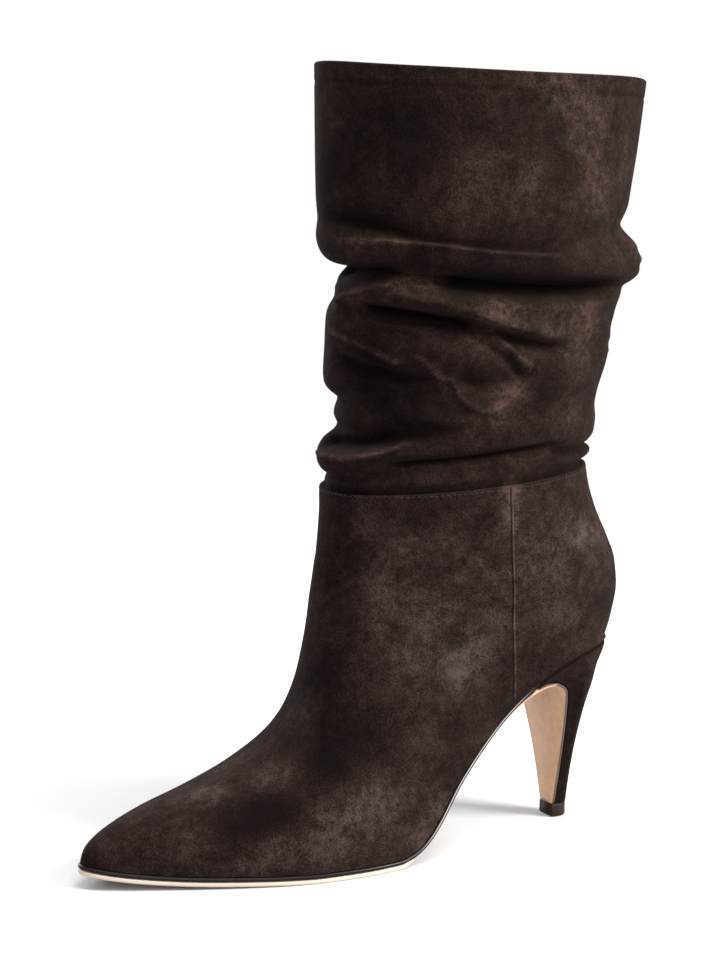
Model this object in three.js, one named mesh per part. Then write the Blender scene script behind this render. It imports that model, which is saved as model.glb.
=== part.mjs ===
// Left ankle-to-calf boot with a slouched shaft, a pointed toe and a slim high heel.
// Millimetres. +X runs from heel to toe, +Y to the outer (lateral) side, +Z up.
// The origin is the centre of the heel tip's ground face.
import * as THREE from 'three';

// Driving sizes of the last
const SOLE_LENGTH = 232;          // back of the heel seat to the toe tip
const SEAT_BACK = 20;             // back of the seat behind the heel tip's centre
const BALL_WIDTH = 77;            // sole width at the ball
const TOE_SWING = 3;              // toe tip set towards the inner side
const HEEL_RISE = 73.3;           // seat above the tread
const TOE_SPRING = 5.6;           // toe tip above the tread
const ANKLE_RISE = 73.8;          // ankle edge at the back above the seat
const ANKLE_DROP = 4.7;           // ankle edge lower in front than at the back
const ANKLE_LENGTH = 115.5;       // ankle opening, front to back
const ANKLE_WIDTH = 75;           // about 1 % over the opening itself
const RIDGE_OFFSET = 4;           // instep ridge set towards the inner side
const RIDGE_FADE = 6;             // sections over which that offset comes in and goes out
const SWING_START = 0.47;         // share of the sole length where the toe starts to swing
const FEATHER_BULGE = 1.01;       // least width of the upper over the feather line's

// Driving sizes of the shaft
const SHAFT_HEIGHT = 152.5;       // ankle edge to collar, at the back
const COLLAR_LENGTH = 143;
const COLLAR_WIDTH = 92;
const FOLD_DEPTH = 10;            // deepest slouch fold
const TUCK = 7;                   // shaft tucked inside the foot part
const RELEASE_START = 1.6;        // above the ankle edge, where the shaft starts to swell
const ROLL_PLACE = 2.2;           // middle of a fold's upper roll over its line, in reaches of the fold
const ROLL_REACH = 2;             // and how far the roll reaches
const HANG_PLACE = 0.8;           // where the roll hangs lowest

// Walls and layers
const UPPER_WALL = 1.6;
const SHAFT_WALL = 1.6;
const INSOLE_THICKNESS = 2;
const MIDSOLE_THICKNESS = 1.6;
const OUTSOLE_THICKNESS = 1.7;
const FLAP_THICKNESS = 1.2;       // outsole where it runs down the heel breast
const GAP = 0.3;                  // between pieces that touch
const TUCK_GAP = 0.45;            // between the tucked shaft and the foot part's wall
const INSOLE_CLEARANCE = 1.5;     // between the insole's edge and the upper's wall

// Edges seen from above, outwards from the feather line
const MIDSOLE_MARGIN = 0.7;
const OUTSOLE_MARGIN = 0.4;
const SHANK_INSET = 3.5;
const SHANK_START = 0.49;         // share of the sole length where the outsole is full width
const SHANK_FULL = 0.43;          // and where it has drawn in under the shank

// Heel
const TIP_LENGTH = 8.6;
const TIP_WIDTH = 10.4;
const TOP_PIECE_THICKNESS = 5.5;
const HEEL_MARGIN = -0.6;         // heel and seat edge inside the feather line
const HEEL_FRONT = 0.198;         // shares of the sole length: front end of the heel's top,
const FLAP_START = 0.215;         // where the outsole leaves the shank for the breast,
const HEEL_WIDEST = 0.17;         // and its widest place
const HEEL_STRAIGHT = 0.35;       // shares of a ring: straight sides in front of the round back
const HEEL_BEND_SHARE = 0.67;     // facets in the round back
const BREAST_NARROWING = 0.06;

// Facets
const SIDE_STEPS = 16;            // from base to ridge on one side of the foot part
// Rows between neighbouring sections of the foot part, and between neighbouring folds of the shaft
const FOOT_ROW_STEPS = [1, 1, 1, 1, 1, 1, 2, 2, 2, 3, 3, 2, 2, 2, 2, 1, 1, 1, 1, 1, 1, 1, 1, 1];
const LEG_ROW_STEPS = [4, 3, 3, 5, 5, 4, 5];
const RING_STEPS = 40;            // round the shaft
const PLATE_STEPS = 64;           // along each side of a sole layer
const HEEL_SIDE_STEPS = 12;       // from the heel's back to a breast corner
const SHARE_STEP = 0.004;         // shares of the sole's length between which a slope is read
const TURN_STEP = 0.03;           // radians between which a ring's direction is read
const WELD_STEPS = 1000;          // places per millimetre to which points are welded

// Colours
const SUEDE = '#3b2a24';
const HEEL_COVER = '#35261f';
const LINING = '#c9a585';
const DARK_EDGE = '#1d1512';
const SOLE_LEATHER = '#d2ab88';
const HEEL_RUBBER = '#2a1d18';

const SOLE_STACK = MIDSOLE_THICKNESS + OUTSOLE_THICKNESS + 2 * GAP;
const SEAT_Z = SOLE_STACK + HEEL_RISE;
const ANKLE_BACK_Z = SEAT_Z + ANKLE_RISE;
const ANKLE_FRONT_Z = ANKLE_BACK_Z - ANKLE_DROP;

// Monotone cubic through a short table, level where two neighbours are equal
function curve(rows, from, to) {
  const x = rows.map((row) => row[from]);
  const y = rows.map((row) => row[to]);
  const slope = x.slice(1).map((value, i) => (y[i + 1] - y[i]) / (value - x[i]));
  const tangent = x.map((value, i) => {
    if (i === 0) return slope[0];
    if (i === x.length - 1) return slope[i - 1];
    if (slope[i - 1] * slope[i] <= 0) return 0;
    return 2 / (1 / slope[i - 1] + 1 / slope[i]);
  });
  return (at) => {
    const inside = THREE.MathUtils.clamp(at, x[0], x[x.length - 1]);
    let i = 0;
    while (i < x.length - 2 && inside > x[i + 1]) i += 1;
    const width = x[i + 1] - x[i];
    const t = (inside - x[i]) / width;
    const spread = (1 - t) * (1 - t) * (1 + 2 * t) * y[i] + t * t * (3 - 2 * t) * y[i + 1];
    return spread + width * t * (1 - t) * ((1 - t) * tangent[i] - t * tangent[i + 1]);
  };
}

// Smooth closed curve through values at equal angles, the first in front, then by the outer side
function compass(values) {
  return (angle) => {
    const place = ((angle / (2 * Math.PI)) % 1 + 1) % 1 * values.length;
    const i = Math.floor(place);
    const t = place - i;
    const [a, b, c, d] = [-1, 0, 1, 2].map((k) => values[(i + k + values.length) % values.length]);
    return b + 0.5 * t * (c - a + t * (2 * a - 5 * b + 4 * c - d + t * (3 * (b - c) + d - a)));
  };
}

// Plan of the feather line: half widths as shares of the ball width, along the sole's length
const PLAN = [
  { along: 0, outer: 0, inner: 0 },
  { along: 0.026, outer: 0.201, inner: 0.201 },
  { along: 0.065, outer: 0.292, inner: 0.292 },
  { along: 0.121, outer: 0.344, inner: 0.338 },
  { along: 0.190, outer: 0.351, inner: 0.331 },
  { along: 0.267, outer: 0.344, inner: 0.305 },
  { along: 0.345, outer: 0.364, inner: 0.318 },
  { along: 0.422, outer: 0.422, inner: 0.403 },
  { along: 0.491, outer: 0.468, inner: 0.481 },
  { along: 0.560, outer: 0.487, inner: 0.513 },
  { along: 0.625, outer: 0.481, inner: 0.513 },
  { along: 0.690, outer: 0.448, inner: 0.481 },
  { along: 0.754, outer: 0.390, inner: 0.422 },
  { along: 0.819, outer: 0.318, inner: 0.344 },
  { along: 0.879, outer: 0.240, inner: 0.260 },
  { along: 0.931, outer: 0.169, inner: 0.182 },
  { along: 0.970, outer: 0.104, inner: 0.110 },
  { along: 0.991, outer: 0.055, inner: 0.057 },
  { along: 1, outer: 0, inner: 0 },
];

// Rise of the feather line above the tread: behind the ball as a share of the heel's rise
const SHANK_PROFILE = [
  { along: 0, rise: 1 },
  { along: 0.043, rise: 0.995 },
  { along: 0.090, rise: 0.973 },
  { along: 0.130, rise: 0.934 },
  { along: 0.172, rise: 0.875 },
  { along: 0.211, rise: 0.797 },
  { along: 0.250, rise: 0.700 },
  { along: 0.310, rise: 0.515 },
  { along: 0.358, rise: 0.345 },
  { along: 0.401, rise: 0.170 },
  { along: 0.427, rise: 0.084 },
  { along: 0.448, rise: 0.038 },
  { along: 0.470, rise: 0.011 },
  { along: 0.492, rise: 0 },
  { along: 0.640, rise: 0 },
];

// In front of the ball as a share of the toe spring
const TOE_PROFILE = [
  { along: 0.492, rise: 0 },
  { along: 0.640, rise: 0 },
  { along: 0.707, rise: 0.055 },
  { along: 0.772, rise: 0.125 },
  { along: 0.836, rise: 0.220 },
  { along: 0.892, rise: 0.375 },
  { along: 0.953, rise: 0.660 },
  { along: 1, rise: 1 },
];

// The plan is read through an angle, so that both ends come out round
const turn = (along) => Math.acos(THREE.MathUtils.clamp(1 - 2 * along, -1, 1)) / Math.PI;
const unturn = (angle) => (1 - Math.cos(Math.PI * angle)) / 2;
const planRows = PLAN.map((row) => ({ angle: turn(row.along), outer: row.outer, inner: row.inner }));
const outerPlan = curve(planRows, 'angle', 'outer');
const innerPlan = curve(planRows, 'angle', 'inner');
const shankRise = curve(SHANK_PROFILE, 'along', 'rise');
const toeRise = curve(TOE_PROFILE, 'along', 'rise');

const alongX = (along) => along * SOLE_LENGTH - SEAT_BACK;
const featherZ = (along) => SOLE_STACK + HEEL_RISE * shankRise(along) + TOE_SPRING * toeRise(along);
const axisY = (along) => -TOE_SWING * THREE.MathUtils.smoothstep(along, SWING_START, 1);
const halfWidth = (along, side) => BALL_WIDTH * (side > 0 ? outerPlan : innerPlan)(turn(along));

// A point of a sole layer: `height` above the feather surface, `margin` outside the feather line
function solePoint(angle, side, margin, height) {
  const place = (value) => {
    const mirrored = Math.abs(value);
    const folded = mirrored > 1 ? 2 - mirrored : mirrored;
    const flip = value < 0 || value > 1 ? -1 : 1;
    const along = unturn(folded);
    return new THREE.Vector2(alongX(along), axisY(along) + flip * side * halfWidth(along, side));
  };
  const tangent = place(angle + SHARE_STEP).sub(place(angle - SHARE_STEP)).normalize();
  const outline = place(angle);
  const isEnd = angle <= 0 || angle >= 1;
  const normalX = isEnd ? (angle <= 0 ? -1 : 1) : -tangent.y * side;
  const normalY = isEnd ? 0 : tangent.x * side;
  const x = outline.x + margin * normalX;
  const y = outline.y + margin * normalY;
  const along = (x + SEAT_BACK) / SOLE_LENGTH;
  const climb = featherZ(along + SHARE_STEP) - featherZ(along - SHARE_STEP);
  const slope = climb / (2 * SHARE_STEP * SOLE_LENGTH);
  const lean = 1 / Math.hypot(1, slope);
  return new THREE.Vector3(x - height * slope * lean, y, featherZ(along) + height * lean);
}

// Closed geometry from triangles given as corner points; equal points are welded
function weld(triangles) {
  const index = new Map();
  const positions = [];
  const faces = [];
  const number = (point) => {
    const key = [point.x, point.y, point.z].map((value) => Math.round(value * WELD_STEPS)).join(' ');
    if (!index.has(key)) {
      index.set(key, positions.length / 3);
      positions.push(point.x, point.y, point.z);
    }
    return index.get(key);
  };
  for (const triangle of triangles) {
    const [a, b, c] = triangle.map(number);
    if (a !== b && b !== c && c !== a) faces.push(a, b, c);
  }
  const geometry = new THREE.BufferGeometry();
  geometry.setAttribute('position', new THREE.Float32BufferAttribute(positions, 3));
  geometry.setIndex(faces);
  return geometry;
}

// Triangles of a grid of points, row by row
function gridTriangles(grid) {
  const triangles = [];
  for (let i = 0; i < grid.length - 1; i += 1) {
    for (let j = 0; j < grid[i].length - 1; j += 1) {
      const [a, b, c, d] = [grid[i][j], grid[i][j + 1], grid[i + 1][j + 1], grid[i + 1][j]];
      triangles.push([a, b, c], [a, c, d]);
    }
  }
  return triangles;
}

// A sheet with its outside given as a grid, and a wall of even thickness behind it
function thickSheet(grid, wall) {
  const sheet = weld(gridTriangles(grid));
  sheet.computeVertexNormals();
  const { position, normal } = sheet.attributes;
  const faces = Array.from(sheet.index.array);
  const outside = [];
  const inside = [];
  const openEdges = new Map();
  for (let i = 0; i < faces.length; i += 3) {
    for (let k = 0; k < 3; k += 1) {
      const [a, b] = [faces[i + k], faces[i + (k + 1) % 3]];
      if (!openEdges.delete(`${b} ${a}`)) openEdges.set(`${a} ${b}`, [a, b]);
    }
  }
  const isRim = new Set([...openEdges.values()].flat());
  for (let i = 0; i < position.count; i += 1) {
    const point = new THREE.Vector3().fromBufferAttribute(position, i);
    const inward = new THREE.Vector3().fromBufferAttribute(normal, i).negate();
    if (isRim.has(i)) inward.setZ(0).normalize();
    outside.push(point);
    inside.push(point.clone().addScaledVector(inward, wall));
  }
  const triangles = [];
  for (let i = 0; i < faces.length; i += 3) {
    const [a, b, c] = faces.slice(i, i + 3);
    triangles.push([outside[a], outside[b], outside[c]], [inside[c], inside[b], inside[a]]);
  }
  for (const [a, b] of openEdges.values()) {
    triangles.push([outside[b], outside[a], inside[a]], [outside[b], inside[a], inside[b]]);
  }
  return weld(triangles);
}

// A solid from layers of outlines, bottom layer first; each outline has paired outer and inner points
function layeredSolid(layers) {
  const triangles = [];
  const loops = layers.map(({ outer, inner }) => [...inner, ...[...outer].reverse(), inner[0]]);
  triangles.push(...gridTriangles(loops));
  const [first, last] = [layers[0], layers[layers.length - 1]];
  triangles.push(...gridTriangles([first.outer, first.inner]));
  triangles.push(...gridTriangles([last.inner, last.outer]));
  return weld(triangles);
}

function piece(name, geometry, color, roughness) {
  const material = new THREE.MeshStandardMaterial({ color, roughness, metalness: 0 });
  const mesh = new THREE.Mesh(geometry, material);
  mesh.name = name;
  return mesh;
}

// Sections of the foot part, toe first. Each is cut by a plane from a base point on the feather line,
// or on the back of the leg, up to a point on the instep ridge.
// base and top: shares of the sole's length; rise: share of the front ankle height;
// outer and inner: widest half widths as shares of the ball width; belly: where the widest point lies;
// round: exponent of the curve over the ridge
const FOOT_SECTIONS = [
  { base: 1, top: 0.996, rise: 0.089, outer: 0, inner: 0, belly: 0.35, round: 2 },
  { base: 0.989, top: 0.984, rise: 0.11, outer: 0.065, inner: 0.068, belly: 0.35, round: 2 },
  { base: 0.966, top: 0.959, rise: 0.134, outer: 0.121, inner: 0.127, belly: 0.33, round: 2.05 },
  { base: 0.922, top: 0.918, rise: 0.161, outer: 0.188, inner: 0.201, belly: 0.32, round: 2 },
  { base: 0.862, top: 0.86, rise: 0.189, outer: 0.279, inner: 0.299, belly: 0.3, round: 1.95 },
  { base: 0.789, top: 0.784, rise: 0.22, outer: 0.368, inner: 0.396, belly: 0.3, round: 1.9 },
  { base: 0.711, top: 0.712, rise: 0.26, outer: 0.448, inner: 0.481, belly: 0.3, round: 1.86 },
  { base: 0.638, top: 0.653, rise: 0.312, outer: 0.494, inner: 0.526, belly: 0.3, round: 1.84 },
  { base: 0.569, top: 0.61, rise: 0.373, outer: 0.506, inner: 0.532, belly: 0.3, round: 1.84 },
  { base: 0.504, top: 0.588, rise: 0.438, outer: 0.494, inner: 0.519, belly: 0.31, round: 1.85 },
  { base: 0.444, top: 0.579, rise: 0.506, outer: 0.461, inner: 0.474, belly: 0.32, round: 1.86 },
  { base: 0.375, top: 0.574, rise: 0.574, outer: 0.429, inner: 0.429, belly: 0.35, round: 1.87 },
  { base: 0.297, top: 0.569, rise: 0.645, outer: 0.409, inner: 0.403, belly: 0.38, round: 1.88 },
  { base: 0.211, top: 0.565, rise: 0.711, outer: 0.41, inner: 0.402, belly: 0.41, round: 1.9 },
  { base: 0.121, top: 0.561, rise: 0.761, outer: 0.415, inner: 0.408, belly: 0.43, round: 1.93 },
  { base: 0.052, top: 0.559, rise: 0.793, outer: 0.421, inner: 0.415, belly: 0.44, round: 1.95 },
  { base: 0.017, top: 0.558, rise: 0.81, outer: 0.425, inner: 0.42, belly: 0.45, round: 1.96 },
  { base: 0, top: 0.557, rise: 0.824, outer: 0.428, inner: 0.424, belly: 0.45, round: 1.97 },
];

// Sections of the foot part up the back of the leg, on from the seat. back: behind the seat's back as a
// share of the ankle opening; lift: share of the ankle's rise; front: before the ankle's front, as a
// share of the ankle opening; rise, outer, inner, belly and round as above, half widths of the ankle's
const LEG_SECTIONS = [
  { back: 0.027, lift: 0.133, front: 0.013, rise: 0.85, outer: 0.455, inner: 0.45, belly: 0.46, round: 1.98 },
  { back: 0.044, lift: 0.275, front: 0.01, rise: 0.876, outer: 0.459, inner: 0.457, belly: 0.47, round: 2 },
  { back: 0.034, lift: 0.424, front: 0.008, rise: 0.902, outer: 0.464, inner: 0.463, belly: 0.48, round: 2 },
  { back: -0.004, lift: 0.573, front: 0.005, rise: 0.927, outer: 0.47, inner: 0.47, belly: 0.49, round: 2 },
  { back: -0.053, lift: 0.729, front: 0.003, rise: 0.95, outer: 0.477, inner: 0.477, belly: 0.49, round: 2 },
  { back: -0.086, lift: 0.878, front: 0.002, rise: 0.979, outer: 0.486, inner: 0.486, belly: 0.5, round: 2 },
  { back: -0.103, lift: 1, front: 0, rise: 1, outer: 0.495, inner: 0.495, belly: 0.5, round: 2 },
];

const ANKLE_BACK_X = -SEAT_BACK - ANKLE_LENGTH * LEG_SECTIONS[LEG_SECTIONS.length - 1].back;
const ANKLE_FRONT_X = ANKLE_BACK_X + ANKLE_LENGTH;
const HEEL_SECTION = FOOT_SECTIONS.length - 1;

// Every section in millimetres, numbered from the toe
const sections = [
  ...FOOT_SECTIONS.map((row) => ({
    turned: turn(row.base),
    baseX: alongX(row.base),
    baseZ: featherZ(row.base),
    topX: alongX(row.top),
    topZ: ANKLE_FRONT_Z * row.rise,
    outer: BALL_WIDTH * row.outer,
    inner: BALL_WIDTH * row.inner,
    belly: row.belly,
    round: row.round,
  })),
  ...LEG_SECTIONS.map((row) => ({
    turned: 0,
    baseX: -SEAT_BACK - ANKLE_LENGTH * row.back,
    baseZ: SEAT_Z + ANKLE_RISE * row.lift,
    topX: ANKLE_FRONT_X + ANKLE_LENGTH * row.front,
    topZ: ANKLE_FRONT_Z * row.rise,
    outer: ANKLE_WIDTH * row.outer,
    inner: ANKLE_WIDTH * row.inner,
    belly: row.belly,
    round: row.round,
  })),
].map((row, number) => ({ ...row, number }));
const LAST_SECTION = sections.length - 1;
const sectionCurve = {};
for (const column of ['turned', 'baseX', 'baseZ', 'topX', 'topZ', 'outer', 'inner', 'belly', 'round']) {
  sectionCurve[column] = curve(sections, 'number', column);
}

// Outside of the foot part. section: place along the numbered sections;
// around: -1 outer base, 0 ridge, 1 inner base
function footPoint(section, around) {
  const side = around <= 0 ? 1 : -1;
  const onFeather = section <= HEEL_SECTION;
  const along = unturn(sectionCurve.turned(section));
  const baseX = onFeather ? alongX(along) : sectionCurve.baseX(section);
  const baseZ = onFeather ? featherZ(along) : sectionCurve.baseZ(section);
  const feather = onFeather ? halfWidth(along, side) : 0;
  const column = side > 0 ? 'outer' : 'inner';
  const widest = Math.max(sectionCurve[column](section), feather * FEATHER_BULGE);
  const belly = sectionCurve.belly(section);
  const power = 2 / sectionCurve.round(section);
  const angle = Math.PI * (1 - Math.abs(around));
  let height;
  let half;
  if (angle <= Math.PI / 2) {
    height = belly * (1 - Math.cos(angle));
    half = Math.hypot(feather, Math.sqrt(widest ** 2 - feather ** 2) * Math.sin(angle));
  } else {
    const over = angle - Math.PI / 2;
    height = belly + (1 - belly) * Math.sin(over) ** power;
    half = around === 0 ? 0 : widest * Math.max(Math.cos(over), 0) ** power;
  }
  const ridge = RIDGE_OFFSET * THREE.MathUtils.smoothstep(section, 0, RIDGE_FADE) *
    (1 - THREE.MathUtils.smoothstep(section, HEEL_SECTION - RIDGE_FADE, LAST_SECTION));
  const middle = THREE.MathUtils.lerp(axisY(along), axisY(along) - ridge, height);
  return new THREE.Vector3(
    THREE.MathUtils.lerp(baseX, sectionCurve.topX(section), height),
    middle + side * half,
    THREE.MathUtils.lerp(baseZ, sectionCurve.topZ(section), height),
  );
}

// Places of a grid's rows: each span between whole numbers in its own count of steps
function rowPlaces(spanSteps, ease) {
  const places = [];
  spanSteps.forEach((steps, i) => {
    for (let k = 1; k <= steps; k += 1) places.push(i + ease(k / steps));
  });
  return places;
}

function footGrid(spanSteps, sideSteps) {
  const places = [0, ...rowPlaces(spanSteps, (t) => t)];
  return places.map((place) => {
    const row = [];
    for (let j = sideSteps; j >= -sideSteps; j -= 1) row.push(footPoint(place, j / sideSteps));
    return row;
  });
}

// Slouch folds, from the ankle up. at: heights of the fold line round the leg as shares of the shaft's
// height above the back ankle edge; depth and lip: how far the trough goes in and the roll above it
// stands out, as shares of the deepest fold. The eight values stand at equal angles, from the front
// by the outer side. below, above and drop: reach of the trough under and over its line, and how far
// the roll hangs over it, as shares of the deepest fold
const FOLDS = [
  { at: [0.007, 0.043, 0.062, 0.066, 0.072, 0.069, 0.059, 0.033],
    depth: [0.4, 0.45, 0.45, 0.2, 0.05, 0.3, 0.4, 0.4],
    lip: [0.28, 0.3, 0.15, 0.1, 0.2, 0.1, 0.15, 0.15], below: 0.5, above: 0.3, drop: 0.15 },
  { at: [0.132, 0.134, 0.157, 0.170, 0.164, 0.157, 0.151, 0.136],
    depth: [0.5, 0.45, 0.05, 0, 0.1, 0.3, 0.35, 0.25],
    lip: [0.1, 0.1, 0.1, 0, 0, 0.1, 0.1, 0.1], below: 0.5, above: 0.35, drop: 0.1 },
  { at: [0.194, 0.222, 0.256, 0.269, 0.262, 0.256, 0.249, 0.210],
    depth: [0.6, 0.3, 0, 0, 0.1, 0.2, 0.1, 0.35],
    lip: [0.1, 0, 0, 0, 0, 0.1, 0, 0.1], below: 0.7, above: 0.4, drop: 0 },
  { at: [0.446, 0.446, 0.367, 0.321, 0.341, 0.400, 0.439, 0.452],
    depth: [0.05, 0.55, 0.15, 0.1, 0.25, 0.4, 0.35, 0.15],
    lip: [0, 0.2, 0.1, 0, 0, 0.15, 0.15, 0.05], below: 0.7, above: 0.3, drop: 0.2 },
  { at: [0.552, 0.546, 0.511, 0.490, 0.468, 0.493, 0.521, 0.549],
    depth: [0.95, 0.7, 0.9, 0.4, 0.2, 0.6, 0.9, 0.8],
    lip: [0.15, 0.2, 0.3, 0.5, 0.95, 0.55, 0.3, 0.2], below: 0.7, above: 0.35, drop: 0.35 },
  { at: [0.662, 0.620, 0.593, 0.616, 0.646, 0.623, 0.610, 0.643],
    depth: [0.05, 0.12, 0.15, 0.25, 0.3, 0.2, 0.15, 0.1],
    lip: [0, 0, 0, 0, 0, 0, 0, 0], below: 0.5, above: 0.5, drop: 0 },
];
const COLLAR_AT = [1.062, 1.059, 1.038, 1.016, 0.997, 1, 1.013, 1.039];

// Unfolded shaft, from the ankle edge up. front and back: set in from the collar's front and back as
// shares of its length; half: half width as a share of the collar's width
const SHAFT_PROFILE = [
  { height: -0.031, front: 0.007, back: 0.176, half: 0.405 },
  { height: 0.09, front: 0.022, back: 0.173, half: 0.422 },
  { height: 0.19, front: 0.037, back: 0.155, half: 0.436 },
  { height: 0.32, front: 0.028, back: 0.104, half: 0.45 },
  { height: 0.41, front: 0.031, back: 0.1, half: 0.461 },
  { height: 0.53, front: 0.036, back: 0.072, half: 0.478 },
  { height: 0.66, front: 0.007, back: 0.065, half: 0.489 },
  { height: 0.83, front: 0.002, back: 0.036, half: 0.494 },
  { height: 1.07, front: 0, back: 0, half: 0.5 },
];

const COLLAR_FRONT_X = ANKLE_FRONT_X + COLLAR_LENGTH * SHAFT_PROFILE[0].front;
const shaftZ = (share) => ANKLE_BACK_Z + SHAFT_HEIGHT * share;
const shaftCurve = {};
for (const column of ['front', 'back', 'half']) {
  shaftCurve[column] = curve(SHAFT_PROFILE, 'height', column);
}
const folds = FOLDS.map((fold) => ({
  at: compass(fold.at),
  depth: compass(fold.depth),
  lip: compass(fold.lip),
  below: FOLD_DEPTH * fold.below,
  above: FOLD_DEPTH * fold.above,
  drop: FOLD_DEPTH * fold.drop,
}));
const collarAt = compass(COLLAR_AT);

// Height before folding: whole levels lie on the ankle edge, on each fold line and on the collar
function levelZ(level, angle) {
  const edge = footPoint(LAST_SECTION, -angle / Math.PI).z;
  const lines = [edge, ...folds.map((fold) => shaftZ(fold.at(angle))), shaftZ(collarAt(angle))];
  const i = Math.min(Math.floor(level), lines.length - 2);
  return THREE.MathUtils.lerp(lines[i], lines[i + 1], level - i);
}

// The shaft's end inside the ankle opening, `above` the edge and clear of the foot part's wall
function tuckPoint(above, angle) {
  const ring = (section, turned) => {
    const wrapped = Math.atan2(Math.sin(turned), Math.cos(turned));
    return footPoint(section, -wrapped / Math.PI);
  };
  const edge = ring(LAST_SECTION, angle);
  const down = ring(LAST_SECTION - 1, angle).sub(edge);
  const side = ring(LAST_SECTION, angle - TURN_STEP).sub(ring(LAST_SECTION, angle + TURN_STEP));
  const outward = side.cross(down).setZ(0).normalize();
  const climb = down.divideScalar(down.z);
  return edge.addScaledVector(climb, above).addScaledVector(outward, -(UPPER_WALL + TUCK_GAP));
}

const bell = (value, reach) => Math.exp(-((value / reach) ** 2));

// Outside of the shaft. level: as above, below 0 in millimetres under the ankle edge;
// angle: from the front by the outer side
function shaftPoint(level, angle) {
  if (level <= 0) return tuckPoint(level, angle);
  const z = levelZ(level, angle);
  const edge = levelZ(0, angle);
  const share = (z - ANKLE_BACK_Z) / SHAFT_HEIGHT;
  const front = COLLAR_FRONT_X - COLLAR_LENGTH * shaftCurve.front(share);
  const back = COLLAR_FRONT_X - COLLAR_LENGTH * (1 - shaftCurve.back(share));
  const half = COLLAR_WIDTH * shaftCurve.half(share);
  const middle = (front + back) / 2;
  const reachX = (front - back) / 2;
  const outward = new THREE.Vector2(half * Math.cos(angle), reachX * Math.sin(angle)).normalize();
  let push = 0;
  let fall = 0;
  for (const fold of folds) {
    const over = z - shaftZ(fold.at(angle));
    const reach = over < 0 ? fold.below : fold.above;
    const roll = bell(over - ROLL_PLACE * fold.above, ROLL_REACH * fold.above);
    const hang = bell(over - HANG_PLACE * fold.above, fold.above);
    push += FOLD_DEPTH * fold.lip(angle) * roll;
    push -= FOLD_DEPTH * fold.depth(angle) * bell(over, reach);
    fall += fold.drop * hang * Math.min(1, 2 * fold.depth(angle));
  }
  const free = new THREE.Vector3(
    middle + reachX * Math.cos(angle) + push * outward.x,
    half * Math.sin(angle) + push * outward.y,
    z - fall,
  );
  const release = THREE.MathUtils.smoothstep(z - edge, RELEASE_START, TUCK);
  return tuckPoint(z - edge, angle).lerp(free, release);
}

function shaftGrid(spanSteps, ringSteps) {
  const levels = [-TUCK, -TUCK / 2, 0, ...rowPlaces(spanSteps, unturn)];
  return levels.map((level) => {
    const row = [];
    for (let j = 0; j <= ringSteps; j += 1) {
      const angle = Math.PI * (2 * j / ringSteps - 1);
      row.push(shaftPoint(level, angle));
    }
    return row;
  });
}

// A plate that follows the feather surface between two heights, from the seat to the toe
function solePlate(margin, low, high) {
  const layer = (height) => {
    const outer = [];
    const inner = [];
    for (let i = 0; i <= PLATE_STEPS; i += 1) {
      const angle = i / PLATE_STEPS;
      outer.push(solePoint(angle, 1, margin(unturn(angle)), height));
      inner.push(solePoint(angle, -1, margin(unturn(angle)), height));
    }
    return { outer, inner };
  };
  return [layer(low), layer(high)];
}

// Heel rings from the seat down to the tip. front and frontRise: the breast's line, from 0 at the tip
// to 1 at the seat's front end; back and backRise: the back line likewise;
// half: widest half width, from 0 at the tip to 1 at the seat
const HEEL_RINGS = [
  { front: 1, frontRise: 1, back: 1, backRise: 1, half: 1 },
  { front: 0.677, frontRise: 1.025, back: 0.75, backRise: 0.942, half: 0.93 },
  { front: 0.397, frontRise: 0.991, back: 0.576, backRise: 0.884, half: 0.88 },
  { front: 0.207, frontRise: 0.925, back: 0.444, backRise: 0.798, half: 0.79 },
  { front: 0.121, frontRise: 0.795, back: 0.305, backRise: 0.682, half: 0.64 },
  { front: 0.060, frontRise: 0.609, back: 0.179, backRise: 0.538, half: 0.47 },
  { front: 0.022, frontRise: 0.395, back: 0.073, backRise: 0.35, half: 0.29 },
  { front: 0.004, frontRise: 0.173, back: 0.014, backRise: 0.147, half: 0.125 },
  { front: 0, frontRise: 0, back: 0, backRise: 0, half: 0 },
];

const LAYER_TOP = -(2 * GAP + MIDSOLE_THICKNESS);    // top of the outsole and of the heel
const HEEL_END = turn(HEEL_FRONT);
const heelTipZ = TOP_PIECE_THICKNESS + GAP;
const heelTipFront = TIP_LENGTH / 2 - FLAP_THICKNESS - GAP;

// One side of a D-shaped ring, from the round back to the front corner
function ringSide(side, backX, frontX, half) {
  const straight = HEEL_STRAIGHT * (frontX - backX);
  const points = [];
  for (let i = 0; i <= HEEL_SIDE_STEPS; i += 1) {
    const t = i / HEEL_SIDE_STEPS;
    const bend = Math.min(t / HEEL_BEND_SHARE, 1) * Math.PI / 2;
    const run = Math.max((t - HEEL_BEND_SHARE) / (1 - HEEL_BEND_SHARE), 0);
    const x = backX + (frontX - straight - backX) * (1 - Math.cos(bend)) + straight * run;
    points.push(new THREE.Vector2(x, side * half * Math.sin(bend) * (1 - BREAST_NARROWING * run)));
  }
  return points;
}

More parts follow.
